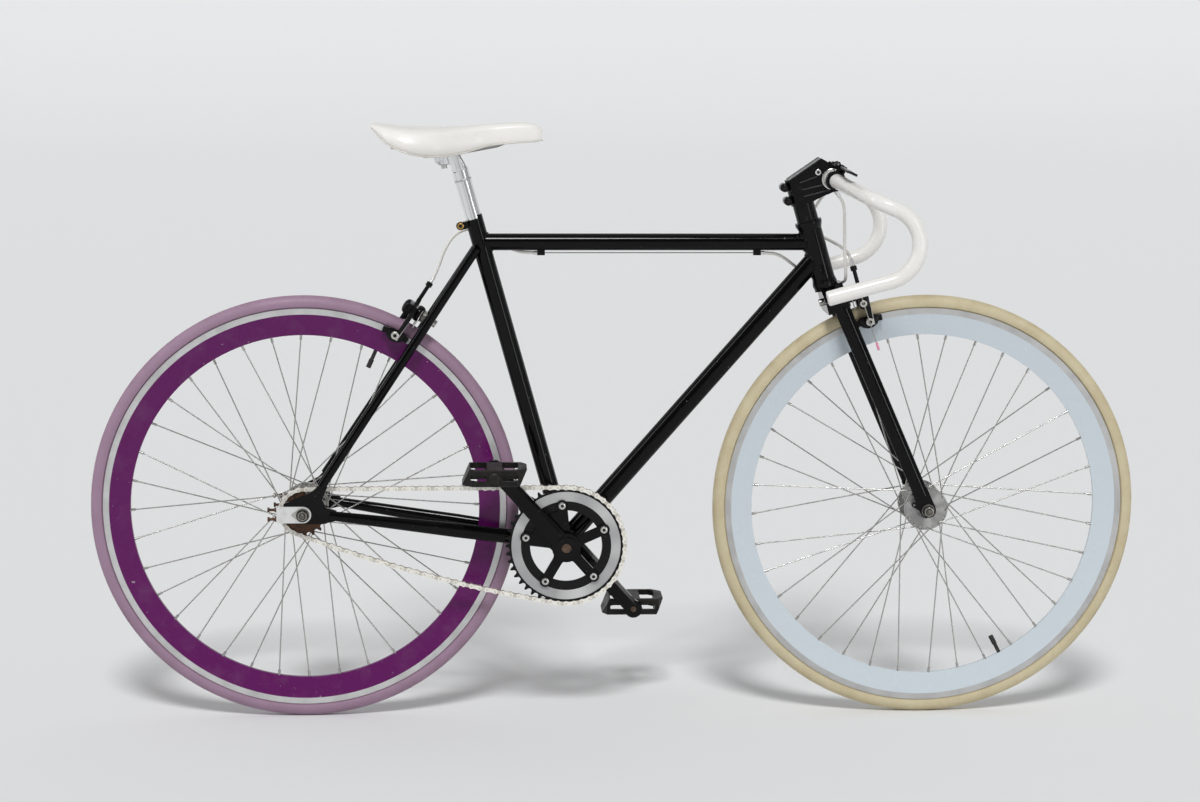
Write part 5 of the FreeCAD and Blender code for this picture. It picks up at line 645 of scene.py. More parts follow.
def add_socket_bolt(work, centre, axis, radius, height, socket):
    """A bolt head with a bevelled rim and a sunk round socket, which takes the second material."""
    made = bmesh.ops.create_cone(work, cap_ends=True, segments=24, radius1=radius, radius2=radius,
                                 depth=height)
    bmesh.ops.translate(work, vec=(0, 0, height / 2), verts=made["verts"])
    top = max({face for vertex in made["verts"] for face in vertex.link_faces},
              key=lambda face: face.calc_center_median().z)
    round_edges(work, top.edges, radius * 0.16)
    upper = [face for face in work.faces if all(vertex.co.z > height - 1e-7 for vertex in face.verts)]
    top = max(upper, key=lambda face: face.calc_area())
    bmesh.ops.inset_individual(work, faces=[top], thickness=radius * 0.84 - socket)
    sunk = bmesh.ops.extrude_face_region(work, geom=[top])
    moved = [item for item in sunk["geom"] if isinstance(item, bmesh.types.BMVert)]
    floor = [item for item in sunk["geom"] if isinstance(item, bmesh.types.BMFace)]
    bmesh.ops.delete(work, geom=[top], context="FACES_ONLY")
    bmesh.ops.translate(work, vec=(0, 0, -height * 0.7), verts=moved)
    for face in floor + [face for vertex in moved for face in vertex.link_faces]:
        face.material_index = 1
    bmesh.ops.transform(work, matrix=placed(centre, axis), verts=work.verts)


def bolt_set(name, body, metal, bolts):
    """Socket bolts as one piece; each is a centre, an axis, a radius, a height and a socket radius."""
    whole = bmesh.new()
    for bolt in bolts:
        one = bmesh.new()
        add_socket_bolt(one, *bolt)
        part = bpy.data.meshes.new("one_bolt")
        one.to_mesh(part)
        one.free()
        whole.from_mesh(part)
        bpy.data.meshes.remove(part)
    mesh = mesh_of(whole, name)
    for face in mesh.polygons:
        face.use_smooth = False
    piece = new_piece(name, mesh, body, metal)
    # The sockets take near-black grime with painted shade.
    piece.data.materials.append(grime_and_painted_shade())
    return piece


def plate_mesh(name, outline, origin, along, upward, thickness, bevel):
    """A flat outline made a plate, with rounded edges."""
    work = bmesh.new()
    corners = [work.verts.new(origin + along * a + upward * b) for a, b in outline]
    face = work.faces.new(corners)
    raised = bmesh.ops.extrude_face_region(work, geom=[face])["geom"]
    out = along.cross(upward).normalized() * thickness
    bmesh.ops.translate(work, vec=out,
                        verts=[item for item in raised if isinstance(item, bmesh.types.BMVert)])
    bmesh.ops.recalc_face_normals(work, faces=work.faces)
    round_edges(work, work.edges, bevel)
    return mesh_of(work, name)


def toned(mesh, number):
    """A mesh all in one of its piece's materials."""
    for face in mesh.polygons:
        face.material_index = number
    return mesh


def joined(name, meshes):
    """Several meshes as one."""
    work = bmesh.new()
    for mesh in meshes:
        work.from_mesh(mesh)
        bpy.data.meshes.remove(mesh)
    whole = bpy.data.meshes.new(name)
    work.to_mesh(whole)
    work.free()
    return whole


def add_turned(name, profile, centre, axis, steps, body, material):
    """A turned profile as a piece."""
    return new_piece(name, turned_mesh(name, profile, centre, axis, steps), body, material)


def add_tube(name, points, radius, sides, body, material, closed=False):
    """A round cord or wire as a piece."""
    return new_piece(name, tube_mesh(name, points, radius, closed, sides), body, material)


def add_joined(name, meshes, body, material):
    """Several meshes as one piece."""
    return new_piece(name, joined(name, meshes), body, material)


# Turned profiles, each point a radius and a height in metres

FLANGE_EDGE = ringed(((0.0325, -0.0016), (0.0342, -0.0016), (0.0347, -0.0011), (0.0347, 0.0011),
                      (0.0342, 0.0016), (0.0325, 0.0016)))
POST_COLLAR = ringed(((0.0122, -0.0016), (0.0130, -0.0016), (0.0136, -0.001), (0.0136, 0.001),
                      (0.0130, 0.0016), (0.0122, 0.0016)))
WIRE_CAP = ((0.0, 0.0), (0.0019, 0.0), (0.0022, 0.0008), (0.0019, 0.006), (0.0022, 0.0066),
            (0.0019, 0.0118), (0.0009, 0.0128), (0.0, 0.013))
FERRULE = ringed(((0.00255, 0.0), (0.0034, 0.0), (0.0034, 0.0022), (0.003, 0.0027), (0.003, 0.0105),
                  (0.0027, 0.0112), (0.00255, 0.0112)))
CLAMP_WASHER = ringed(((0.0046, 0.0), (0.0066, 0.0), (0.0066, 0.0012), (0.0046, 0.0016)))
# Near-black ring under an axle nut and disc on its face, as painted shade
NUT_SHADE_RING = ((0.0, 0.0004), (0.0095, 0.0004), (0.0098, -0.0004))
NUT_FACE_SHADE = ((0.0, 0.0037), (0.0053, 0.0037), (0.0055, 0.003))
AXLE_STUB = ((0.0, 0.0062), (0.0033, 0.0062), (0.004, 0.0055), (0.004, 0.003))
PEDAL_CAP = ((0.0098, -0.0015), (0.0098, 0.0012), (0.0086, 0.0026), (0.006, 0.0036), (0.003, 0.0041),
             (0.0, 0.0043))
CLAMP_RING = ringed(((0.0133, -0.0008), (0.0163, -0.0008), (0.0167, 0.0), (0.0163, 0.0008),
                     (0.0133, 0.0008)))
STEM_EAR = ((0.0, 0.0), (0.0058, 0.0), (0.0066, 0.0008), (0.0066, 0.029), (0.0058, 0.0298), (0.0, 0.0298))

# Brakes, in metres out from the pivot: layer is the middle of the arms, bolt_face the end of the bright
# part of the bolt, barrel the start and end of the round body, and cap the foot of its dome; the arm on
# wire_side holds the inner wire

Brake = namedtuple("Brake", ("name", "axle", "pivot", "upward", "out", "root", "layer", "wire_side",
                             "bolt_face", "barrel", "cap", "cap_radius"))
FRONT_BRAKE = Brake("front", FRONT_AXLE, Vector((0.33659, 0.0, 0.6655)), HEAD_UP, HEAD_AHEAD,
                    root="steering", layer=0.0455, wire_side=RIGHT, bolt_face=0.036,
                    barrel=(0.0262, 0.0418), cap=0.0566, cap_radius=0.010)
REAR_BRAKE = Brake("rear", REAR_AXLE, Vector((-0.2951, 0.0, 0.6347)), STAY_UP, STAY_OUT,
                   root="frame", layer=0.0285, wire_side=LEFT, bolt_face=0.0205,
                   barrel=(0.0126, 0.0248), cap=0.0396, cap_radius=0.0118)
BRAKES = (FRONT_BRAKE, REAR_BRAKE)

# Bolt heads: radius, height and socket radius in metres

PAD_BOLT = (0.0062, 0.0026, 0.0029)
ANCHOR_BOLT = (0.0056, 0.0036, 0.0025)
RING_BOLT = (0.0052, 0.0014, 0.0026)
SEAT_BOLT = (0.0052, 0.003, 0.0026)
EAR_BOLT = (0.0044, 0.0016, 0.0022)
FACE_BOLT = (0.0044, 0.0014, 0.0022)
BAR_BOLT = (0.005, 0.0022, 0.0024)


# Paint and finishes of the CAD nodes

class BICYCLE_OT_paint_frame(bpy.types.Operator):
    """Paints the frame and fork gloss black, and finishes their fittings"""

    bl_idname = "bicycle.paint_frame"
    bl_label = "Paint frame and fork"

    def execute(self, context):
        colours = context.scene.bicycle_colours
        paint = black_gloss("black_gloss_paint", colours.black_paint)
        cover(paint, "head_tube", "top_tube", "down_tube", "seat_tube", "bottom_bracket_shell",
              "chain_stays", "seat_stays", "dropouts", "fork_crown", "fork_blades")
        cover(black_satin("black_headset", shade(8, 8, 9), 0.15), "headset_cups", "headset_spacers",
              "bottom_bracket_cups")
        cover(steel("brass_clamp_bolt", colours.brass, 0.3, 0.5), "seat_clamp_bolt")
        cover(steel("cable_wire", shade(176, 176, 174), 0.34, 0.2), "rear_brake_wire")
        return {"FINISHED"}


class BICYCLE_OT_finish_wheels(bpy.types.Operator):
    """Finishes the rims, tyres, tubes, spokes, axles and tensioners, and the hubs with their flange rims"""

    bl_idname = "bicycle.finish_wheels"
    bl_label = "Finish wheels"

    def execute(self, context):
        colours = context.scene.bicycle_colours
        cover(rim_walls("purple_rim_paint", colours.purple_rim, shade(212, 212, 212), REAR_AXLE),
              "rear_rim")
        cover(rim_walls("white_rim_paint", colours.white_rim, shade(196, 196, 196), FRONT_AXLE),
              "front_rim")
        cover(tyre_rubber("mauve_rubber", colours.mauve_tyre, shade(126, 104, 118), REAR_AXLE), "rear_tyre")
        cover(tyre_rubber("cream_rubber", colours.cream_tyre, shade(160, 138, 98), FRONT_AXLE),
              "front_tyre")
        cover(rubber("valve_rubber", shade(28, 27, 27)), "front_inner_tube", "rear_inner_tube")
        cover(steel("spoke_steel", shade(178, 177, 174), 0.24, 0.22), "front_spokes", "rear_spokes")
        for name, axle, flange, dull in (("front", FRONT_AXLE, 0.0335, 0.0),
                                         ("rear", REAR_AXLE, 0.031, 0.08)):
            # The hubs' alloy gets dark sectors painted in as a painted reflection.
            alloy = silver_turned(name + "_hub_alloy", colours.silver, axle, dull, 0.55)
            cover(alloy, name + "_hub")
            rims = [turned_mesh("edge", FLANGE_EDGE, axle + ACROSS * sign * flange, ACROSS, 72)
                    for _, sign in SIDES]
            add_joined(name + "_flange_rims", rims, name + "_wheel", alloy)
        cover(steel("axle_steel", shade(168, 165, 160), 0.32, 0.5), "front_axle", "rear_axle")
        cover(silver_turned("tensioner_alloy", shade(236, 236, 235)), "chain_tensioners")
        cover(rusted("tensioner_bolt_rust", colours.rust), "chain_tensioner_bolts")
        return {"FINISHED"}


class BICYCLE_OT_finish_drive(bpy.types.Operator):
    """Finishes the cranks, chainring, chain, sprocket and pedals"""

    bl_idname = "bicycle.finish_drive"
    bl_label = "Finish drive"

    def execute(self, context):
        colours = context.scene.bicycle_colours
        cover(black_gloss("crank_paint", colours.black_paint), "crank_arm_right", "crank_arm_left")
        cover(ring_zones("chainring_bands", shade(6, 6, 7), shade(232, 232, 232)), "chainring")
        cover(steel("ring_bolt_steel", shade(196, 195, 192), 0.24, 0.3), "chainring_bolts")
        cover(rusted("spindle_rust", shade(104, 84, 68)), "crank_axles")
        low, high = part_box("chain")
        cover(chain_links("chain_paint", colours.chain_paint, (low[1] + high[1]) / 2), "chain")
        cover(rusted("sprocket_rust", colours.rust), "rear_sprocket")
        cover(worn_plastic("pedal_plastic", colours.pedal_plastic), "pedal_right", "pedal_left")
        return {"FINISHED"}


class BICYCLE_OT_finish_front(bpy.types.Operator):
    """Finishes the handlebar, stem and brake levers"""

    bl_idname = "bicycle.finish_front"
    bl_label = "Finish handlebar and stem"

    def execute(self, context):
        colours = context.scene.bicycle_colours
        cover(white_gloss("white_bar_paint", colours.white_paint), "handlebar", "bar_end_plugs")
        cover(black_satin("stem_alloy", shade(7, 7, 8), 0.1), "stem", "stem_faceplate")
        cover(steel("stem_bolt_steel", shade(46, 45, 44), 0.34, 0.5), "stem_bolts")
        cover(black_satin("lever_alloy", shade(9, 9, 10)), "brake_lever_clamps", "front_brake_lever",
              "rear_brake_lever")
        return {"FINISHED"}


PAD_TOP = 0.3215
PAD_BACK = 0.0202
PAD_BOLT_FACE = 0.0317


def axle_radius(axle, place):
    """Distance of a place from an axle, seen from the side."""
    return math.hypot(place.x - axle.x, place.z - axle.z)


class BICYCLE_OT_finish_brakes(bpy.types.Operator):
    """Finishes the brake arms and pivot bolts, with rubber pads and bright pad bolts"""

    bl_idname = "bicycle.finish_brakes"
    bl_label = "Finish brakes"

    def execute(self, context):
        arms = black_satin("brake_arm_alloy", shade(12, 12, 13), 0.25)
        pads = rubber("pad_rubber", shade(24, 24, 25))
        bright = steel("brake_bolt_steel", shade(186, 185, 182), 0.28, 0.3)
        for brake in BRAKES:
            def on_pad(place, axle=brake.axle):
                return axle_radius(axle, place) < PAD_TOP and abs(place.y) < PAD_BACK

            def on_pad_bolt(place, axle=brake.axle):
                return axle_radius(axle, place) < PAD_TOP and abs(place.y) > PAD_BOLT_FACE

            def near_frame(place, brake=brake):
                return (place - brake.pivot).dot(brake.out) < brake.bolt_face

            for side, _ in SIDES:
                cover_where("%s_caliper_arm_%s" % (brake.name, side), (pads, on_pad), (bright, on_pad_bolt),
                            (arms, anywhere))
            cover_where(brake.name + "_brake_bolt", (bright, near_frame), (arms, anywhere))
        return {"FINISHED"}


class BICYCLE_OT_finish_seat(bpy.types.Operator):
    """Finishes the seatpost with its collar, the clamp, the rails and the saddle's shell"""

    bl_idname = "bicycle.finish_seat"
    bl_label = "Finish seatpost"

    def execute(self, context):
        colours = context.scene.bicycle_colours
        tilt = -math.atan2(SEAT_UP.x, SEAT_UP.z)
        cover(silver_painted_streaks("seatpost_alloy", shade(238, 239, 240), tilt), "seatpost")
        cover(silver_turned("saddle_clamp_alloy", colours.silver, dull=0.05), "saddle_clamp")
        cover(steel("rail_steel", shade(150, 149, 147), 0.34, 0.4), "saddle_rails")
        cover(white_gloss("saddle_shell_plastic", shade(214, 211, 205), 0.0), "saddle_shell")
        add_turned("post_collar", POST_COLLAR, POST_TOP - SEAT_UP * 0.02, SEAT_UP, 40, "seat",
                   silver_turned("post_collar_alloy", colours.silver))
        return {"FINISHED"}


# The saddle

# Each station is its distance ahead of the clamp, half width, half width at the foot, and the heights
# of crest, shoulder and foot, in millimetres
SADDLE_STATIONS = ((-117.0, 33.0, 30.0, 49.0, 46.5, 42.5), (-94.0, 62.0, 59.0, 47.0, 38.0, 19.5),
                   (-58.0, 74.0, 70.5, 43.5, 30.0, 3.5), (-18.0, 66.0, 62.5, 42.5, 28.0, -1.5),
                   (22.0, 45.0, 42.5, 43.5, 31.0, 2.5), (64.0, 26.0, 25.0, 47.0, 36.0, 14.0),
                   (112.0, 20.5, 20.0, 49.3, 40.5, 19.0), (138.0, 16.5, 16.0, 47.0, 39.0, 20.5),
                   (149.0, 9.0, 8.5, 40.5, 36.0, 22.5))
SADDLE_ROWS = 30
SADDLE_COLUMNS = 20
PIPING_SPOTS = 24

# Share of the way from crest to foot where the top turns into the side, and the top's share of the width
SHOULDER = 0.62
TOP_WIDTH = 0.9


def eased(values, places, at):
    """A smooth curve through values at places."""
    if at <= places[0]:
        return values[0]
    if at >= places[-1]:
        return values[-1]
    spot = max(number for number in range(len(places) - 1) if places[number] <= at)
    slopes = []
    for number in (spot, spot + 1):
        before = max(number - 1, 0)
        after = min(number + 1, len(places) - 1)
        slopes.append((values[after] - values[before]) / (places[after] - places[before]))
    step = places[spot + 1] - places[spot]
    share = (at - places[spot]) / step
    rise = 3 * share ** 2 - 2 * share ** 3
    leaving = (share ** 3 - 2 * share ** 2 + share) * step * slopes[0]
    arriving = (share ** 3 - share ** 2) * step * slopes[1]
    return (1 - rise) * values[spot] + rise * values[spot + 1] + leaving + arriving


def saddle_station(at):
    """The saddle's five sizes at a distance ahead of the clamp, in millimetres."""
    places = [station[0] for station in SADDLE_STATIONS]
    return [eased([station[number] for station in SADDLE_STATIONS], places, at) for number in range(1, 6)]


def saddle_point(at, turn, sink=0.0):
    """A place on the cover: turn goes from -1 at the right foot over the crest to 1 at the left foot."""
    wide, foot_half, crest, shoulder, foot = saddle_station(at)
    side = -1.0 if turn < 0 else 1.0
    share = abs(turn)
    top_half = wide * TOP_WIDTH
    if share < SHOULDER:
        along = share / SHOULDER
        across = top_half * math.sin(along * math.pi / 2) ** 0.9 if along else 0.0
        height = crest - (crest - shoulder) * (1 - math.cos(along * math.pi / 2)) ** 1.15
    else:
        along = (share - SHOULDER) / (1 - SHOULDER)
        bulge = math.sin(along * math.pi)
        across = top_half + (foot_half - top_half) * along + (wide - (top_half + foot_half) / 2) * bulge
        height = shoulder + (foot - shoulder) * along
    height -= sink * (height - foot)
    return Vector((SADDLE.x + at / 1000.0, side * across / 1000.0, SADDLE.z + height / 1000.0))


class BICYCLE_OT_saddle(bpy.types.Operator):
    """Makes the padded saddle cover and the piping along its lower edge"""

    bl_idname = "bicycle.saddle"
    bl_label = "Make saddle"

    def execute(self, context):
        sizes = context.scene.bicycle_sizes
        white = vinyl("saddle_vinyl", context.scene.bicycle_colours.white_vinyl)
        first, last = SADDLE_STATIONS[0][0], SADDLE_STATIONS[-1][0]
        length = last - first
        rows = [(first, 1.0), (first, 0.55), (first + 1.5, 0.12)]
        rows += [(first + length * number / SADDLE_ROWS, 0.0) for number in range(1, SADDLE_ROWS)]
        rows += [(last - 0.8, 0.1), (last, 0.5), (last, 1.0)]
        work = bmesh.new()
        bmesh.ops.create_grid(work, x_segments=len(rows) - 1, y_segments=SADDLE_COLUMNS, size=1.0)
        for vertex in work.verts:
            row = round((vertex.co.x + 1.0) / 2.0 * (len(rows) - 1))
            at, sink = rows[row]
            vertex.co = saddle_point(at, vertex.co.y, sink)
        mesh = mesh_of(work, "padded_saddle")
        piece = new_piece("padded_saddle", mesh, None, white)
        wall = piece.modifiers.new("wall", "SOLIDIFY")
        wall.thickness = sizes.saddle_wall
        wall.offset = -1.0
        soft = piece.modifiers.new("soft", "SUBSURF")
        soft.levels = 2
        soft.render_levels = 2
        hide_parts("saddle_cover")
        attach(piece, "seat")

        spots = [first + length * number / PIPING_SPOTS for number in range(PIPING_SPOTS + 1)]
        edge = [saddle_point(at, 1.0) for at in spots] + [saddle_point(at, -1.0) for at in reversed(spots)]
        piping = white_gloss("saddle_piping", shade(214, 211, 204), 0.1)
        add_tube("saddle_piping", edge, sizes.piping / 2, 2, "seat", piping, closed=True)
        return {"FINISHED"}


# Cables, their ends and the inner wires

WIRE_HEIGHT = 0.74055
FRONT_LEVER_END = (0.3382, 0.038, 0.8401)
REAR_LEVER_END = (0.3382, -0.038, 0.8401)
FRONT_STOP = (0.2209, 0.0, WIRE_HEIGHT)
REAR_STOP = (-0.1194, 0.0, WIRE_HEIGHT)
FRONT_BARREL = Vector((0.36727, -0.040, 0.72327))
REAR_BARREL = Vector((-0.29297, 0.040, 0.68962))

FRONT_ROUTE = (FRONT_LEVER_END, (0.3316, 0.038, 0.8313), (0.3215, 0.038, 0.818), (0.310, 0.037, 0.798),
               (0.314, 0.031, 0.770), (0.337, 0.012, 0.7595), (0.3575, -0.024, 0.7478),
               tuple(FRONT_BARREL + HEAD_UP * 0.013), tuple(FRONT_BARREL))
LOOP_ROUTE = (REAR_LEVER_END, (0.3448, -0.038, 0.8313), (0.3528, -0.038, 0.817), (0.3535, -0.038, 0.780),
              (0.3545, -0.0375, 0.736), (0.358, -0.031, 0.708), (0.3595, -0.009, 0.6965),
              (0.357, 0.020, 0.691), (0.332, 0.038, 0.694), (0.290, 0.025, 0.712), (0.258, 0.006, 0.7375),
              (0.2349, 0.0, WIRE_HEIGHT), FRONT_STOP)
REAR_ROUTE = (REAR_STOP, (-0.1334, 0.0, WIRE_HEIGHT), (-0.160, 0.009, 0.742), (-0.190, 0.024, 0.760),
              (-0.224, 0.028, 0.778), (-0.252, 0.031, 0.770), (-0.270, 0.034, 0.745),
              tuple(REAR_BARREL + STAY_UP * 0.018), tuple(REAR_BARREL))


class BICYCLE_OT_cables(bpy.types.Operator):
    """Lays the brake cables' white housings"""

    bl_idname = "bicycle.cables"
    bl_label = "Lay cables"

    def execute(self, context):
        sizes = context.scene.bicycle_sizes
        white = white_gloss("cable_housing", shade(232, 230, 225), 0.1)
        radius = sizes.housing / 2
        for name, route, upward, body, arm, length in (
                ("front_housing", FRONT_ROUTE, HEAD_UP, "steering", "front_left_arm", sizes.front_housing),
                ("rear_housing", REAR_ROUTE, STAY_UP, "frame", "rear_right_arm", sizes.rear_housing)):
            piece = add_tube(name, route, radius, 6, None, white)
            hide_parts(name.replace("_housing", "_brake_housing"))
            route_points(route)
            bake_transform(piece)
        loop = add_tube("rear_loop", LOOP_ROUTE, radius, 6, None, white)
        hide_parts("rear_brake_loop")
        route_points(LOOP_ROUTE)
        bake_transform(loop)
        return {"FINISHED"}


# Brake fittings, in metres

PAD_RADIUS = 0.3125
PAD_EDGE = 0.318
PAD_FRONT = 0.0205
HOLDER_FACE = 0.0185
PAD_BOLT_SEAT = 0.0346
SPRING_SETBACK = 0.013
WIRE_OFFSET = 0.040
CAP_OVERLAP = 0.004
PLATE_FACE = 0.036
ANCHOR_FACE = 0.0428
SPACER_SEAT = 0.0077

# Along the rim and away from the axle
PAD_HOLDER = ((-0.0185, 0.0045), (-0.010, 0.0082), (0.010, 0.0082), (0.0185, 0.0045), (0.0125, -0.0075),
              (0.004, -0.0115), (-0.004, -0.0115), (-0.0125, -0.0075))

# Across and above the pivot
SPRING = ((-0.026, -0.022), (-0.021, -0.006), (-0.012, 0.007), (0.0, 0.0115), (0.012, 0.007),
          (0.021, -0.006), (0.026, -0.022))

# Share of the wire's offset, height above the pivot, and distance out of the arms' layer
WIRE_FALL = ((1.0, 0.0165, 0.0), (1.1, 0.006, 0.0), (1.14, -0.010, 0.0), (1.14, -0.022, 0.0005),
             (1.12, -0.045, 0.002), (1.1, -0.083, 0.004))

# Out of the arms' layer and above the pivot
ANCHOR_PLATE = ((-0.006, -0.006), (-0.006, -0.021), (0.0005, -0.025), (0.008, -0.021), (0.010, -0.004),
                (0.0005, 0.0))


def pad_places(axle, arm):
    """Middle of the brake pad on an arm, and the directions along the rim and away from the axle."""
    places = [vertex.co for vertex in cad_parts[arm].data.vertices
              if abs(vertex.co.y) < PAD_FRONT and axle_radius(axle, vertex.co) < PAD_EDGE]
    middle = sum(places, Vector()) / len(places)
    outward = Vector((middle.x - axle.x, 0.0, middle.z - axle.z)).normalized()
    along = Vector((outward.z, 0.0, -outward.x))
    return axle + outward * PAD_RADIUS, along, outward


def fit_pads(brake, black, bright):
    """Pad holders and pad bolts on both arms of a brake."""
    for side, sign in SIDES:
        body = "%s_%s_arm" % (brake.name, side)
        middle, along, outward = pad_places(brake.axle, "%s_caliper_arm_%s" % (brake.name, side))
        run = along if along.cross(outward).y * sign > 0 else -along
        base = middle + ACROSS * sign * HOLDER_FACE
        holder = plate_mesh(body + "_pad_holder", PAD_HOLDER, base, run, outward, 0.0045, 0.0012)
        new_piece(body + "_pad_holder", holder, body, black)
        bolt = (middle + ACROSS * sign * PAD_BOLT_SEAT, ACROSS * sign, *PAD_BOLT)
        bolt_set(body + "_pad_bolt", body, bright, [bolt])


def fit_wire(brake, thickness, black, bright, wire, pink):
    """Return spring, inner wire with its cap, and the plate and bolt that anchor the wire."""
    def spot(across, height, depth):
        return brake.pivot + ACROSS * across + brake.upward * height + brake.out * depth

    spring = [spot(across, height, brake.layer - SPRING_SETBACK) for across, height in SPRING]
    add_tube(brake.name + "_spring", spring, 0.0009, 3, brake.root, bright)
    sign = brake.wire_side
    arm = "%s_%s_arm" % (brake.name, "right" if sign == RIGHT else "left")
    line = [spot(sign * WIRE_OFFSET * share, height, brake.layer + depth)
            for share, height, depth in WIRE_FALL]
    add_tube(brake.name + "_wire", line, thickness / 2, 3, arm, wire)
    heading = (line[-1] - line[-2]).normalized()
    add_turned(brake.name + "_wire_cap", WIRE_CAP, line[-1] - heading * CAP_OVERLAP, heading, 16, arm, pink)
    outline = [(depth * -sign, height) for depth, height in ANCHOR_PLATE]
    plate = plate_mesh(arm + "_anchor_plate", outline, spot(sign * PLATE_FACE, 0.0, brake.layer),
                       brake.out * -sign, brake.upward, 0.007, 0.0012)
    new_piece(arm + "_anchor_plate", plate, arm, black)
    anchor = (spot(sign * ANCHOR_FACE, -0.014, brake.layer), ACROSS * sign, *ANCHOR_BOLT)
    bolt_set(brake.name + "_wire_anchor", arm, bright, [anchor])


def fit_body(brake, black):
    """A brake's round body behind the arms, and the domed cap on its pivot."""
    start, end = brake.barrel
    barrel = ((0.0, start), (0.0105, start), (0.0128, start + 0.0022), (0.0134, (start + end) / 2),
              (0.0128, end - 0.0022), (0.0105, end), (0.0, end))
    foot, radius = brake.cap, brake.cap_radius
    dome = ((0.0, foot), (radius, foot), (radius, foot + 0.0022), (radius * 0.86, foot + 0.0048),
            (radius * 0.5, foot + 0.0068), (0.0, foot + 0.0074))
    meshes = [turned_mesh("body", profile, brake.pivot, brake.out, 40) for profile in (barrel, dome)]
    add_joined(brake.name + "_caliper_body", meshes, brake.root, black)


def ribbed_profile(ribs, pitch, bore, groove, crest):
    """A ring's profile with ribs and grooves of equal width."""
    steps = [(crest if number % 2 else groove, pitch * (number + step / 2))
             for number in range(2 * ribs) for step in (0, 1)]
    return ringed([(bore, 0.0)] + steps + [(bore, steps[-1][1] + pitch / 3)])


class BICYCLE_OT_brake_fittings(bpy.types.Operator):
    """Adds pad holders, bolts, springs, inner wires, round bodies and ferrules to the brakes"""

    bl_idname = "bicycle.brake_fittings"
    bl_label = "Fit brake details"

    def execute(self, context):
        black = black_satin("pad_holder_alloy", shade(17, 17, 18), 0.3)
        bright = steel("pad_bolt_steel", shade(206, 204, 198), 0.3, 0.35)
        wire = steel("inner_wire_steel", shade(168, 167, 164), 0.36, 0.2)
        pink = white_gloss("wire_end_cap", context.scene.bicycle_colours.end_cap, 0.2)
        for brake in BRAKES:
            fit_pads(brake, black, bright)
        for brake in BRAKES:
            fit_wire(brake, context.scene.bicycle_sizes.wire, black, bright, wire, pink)
        ribs = ribbed_profile(4, 0.0006, 0.0062, 0.0094, 0.0105)
        add_turned("rear_spacer", ribs, REAR_BRAKE.pivot + STAY_OUT * SPACER_SEAT, STAY_OUT, 32, "frame",
                   bright)
        for brake in BRAKES:
            fit_body(brake, black)
        silver = silver_turned("ferrule_alloy", shade(222, 222, 221))
        for name, place, axis, body in (
                ("front_ferrule", FRONT_BARREL, HEAD_UP, "front_left_arm"),
                ("rear_ferrule", REAR_BARREL, STAY_UP, "rear_right_arm"),
                ("front_stop_ferrule", FRONT_STOP, (1, 0, 0), "frame"),
                ("rear_stop_ferrule", REAR_STOP, (-1, 0, 0), "frame"),
                ("front_lever_ferrule", FRONT_LEVER_END, (-0.6, 0, -0.8), "steering"),
                ("rear_lever_ferrule", REAR_LEVER_END, (0.6, 0, -0.8), "steering")):
            add_turned(name, FERRULE, place, axis, 24, body, silver)
        return {"FINISHED"}


# Bolts, pedal caps and stem details, in metres

RING_BOLT_FACE = 0.0504
RING_BOLT_TURN = 95.65
CLAMP_FACE = 0.0125
CLAMP_BOLT_FACE = 0.0129
EAR_BOLT_FACE = 0.0154
EAR_FACE = 0.0149
FACE_BOLT_OFFSET = 0.012
FACE_BOLT_SINK = 0.0002
SLOT_SINK = 0.0003
NUT_RADIUS = 0.0082
NUT_HEIGHT = 0.0036

# Ahead of and above the rear axle
TENSIONER_SLOT = ((-0.018, 0.0), (-0.0165, 0.0022), (-0.0065, 0.0095), (0.0045, 0.0095), (0.0045, -0.0095),
                  (-0.0065, -0.0095), (-0.0165, -0.0022))


def axle_nut(end, outward):
    """A nut's hexagon, a near-black ring under it and a near-black disc on its face as painted shade, and
    the stub of the axle, at an axle's end.
    """
    work = bmesh.new()
    bmesh.ops.create_cone(work, cap_ends=True, segments=6, radius1=NUT_RADIUS, radius2=NUT_RADIUS,
                          depth=NUT_HEIGHT)
    round_edges(work, work.edges, 0.0006)
    bmesh.ops.transform(work, matrix=placed(end + outward * NUT_HEIGHT / 2, outward), verts=work.verts)
    turned = [toned(turned_mesh("end", profile, end, outward, 32), number)
              for number, profile in ((1, NUT_SHADE_RING), (1, NUT_FACE_SHADE), (2, AXLE_STUB))]
    return [mesh_of(work, "nut")] + turned


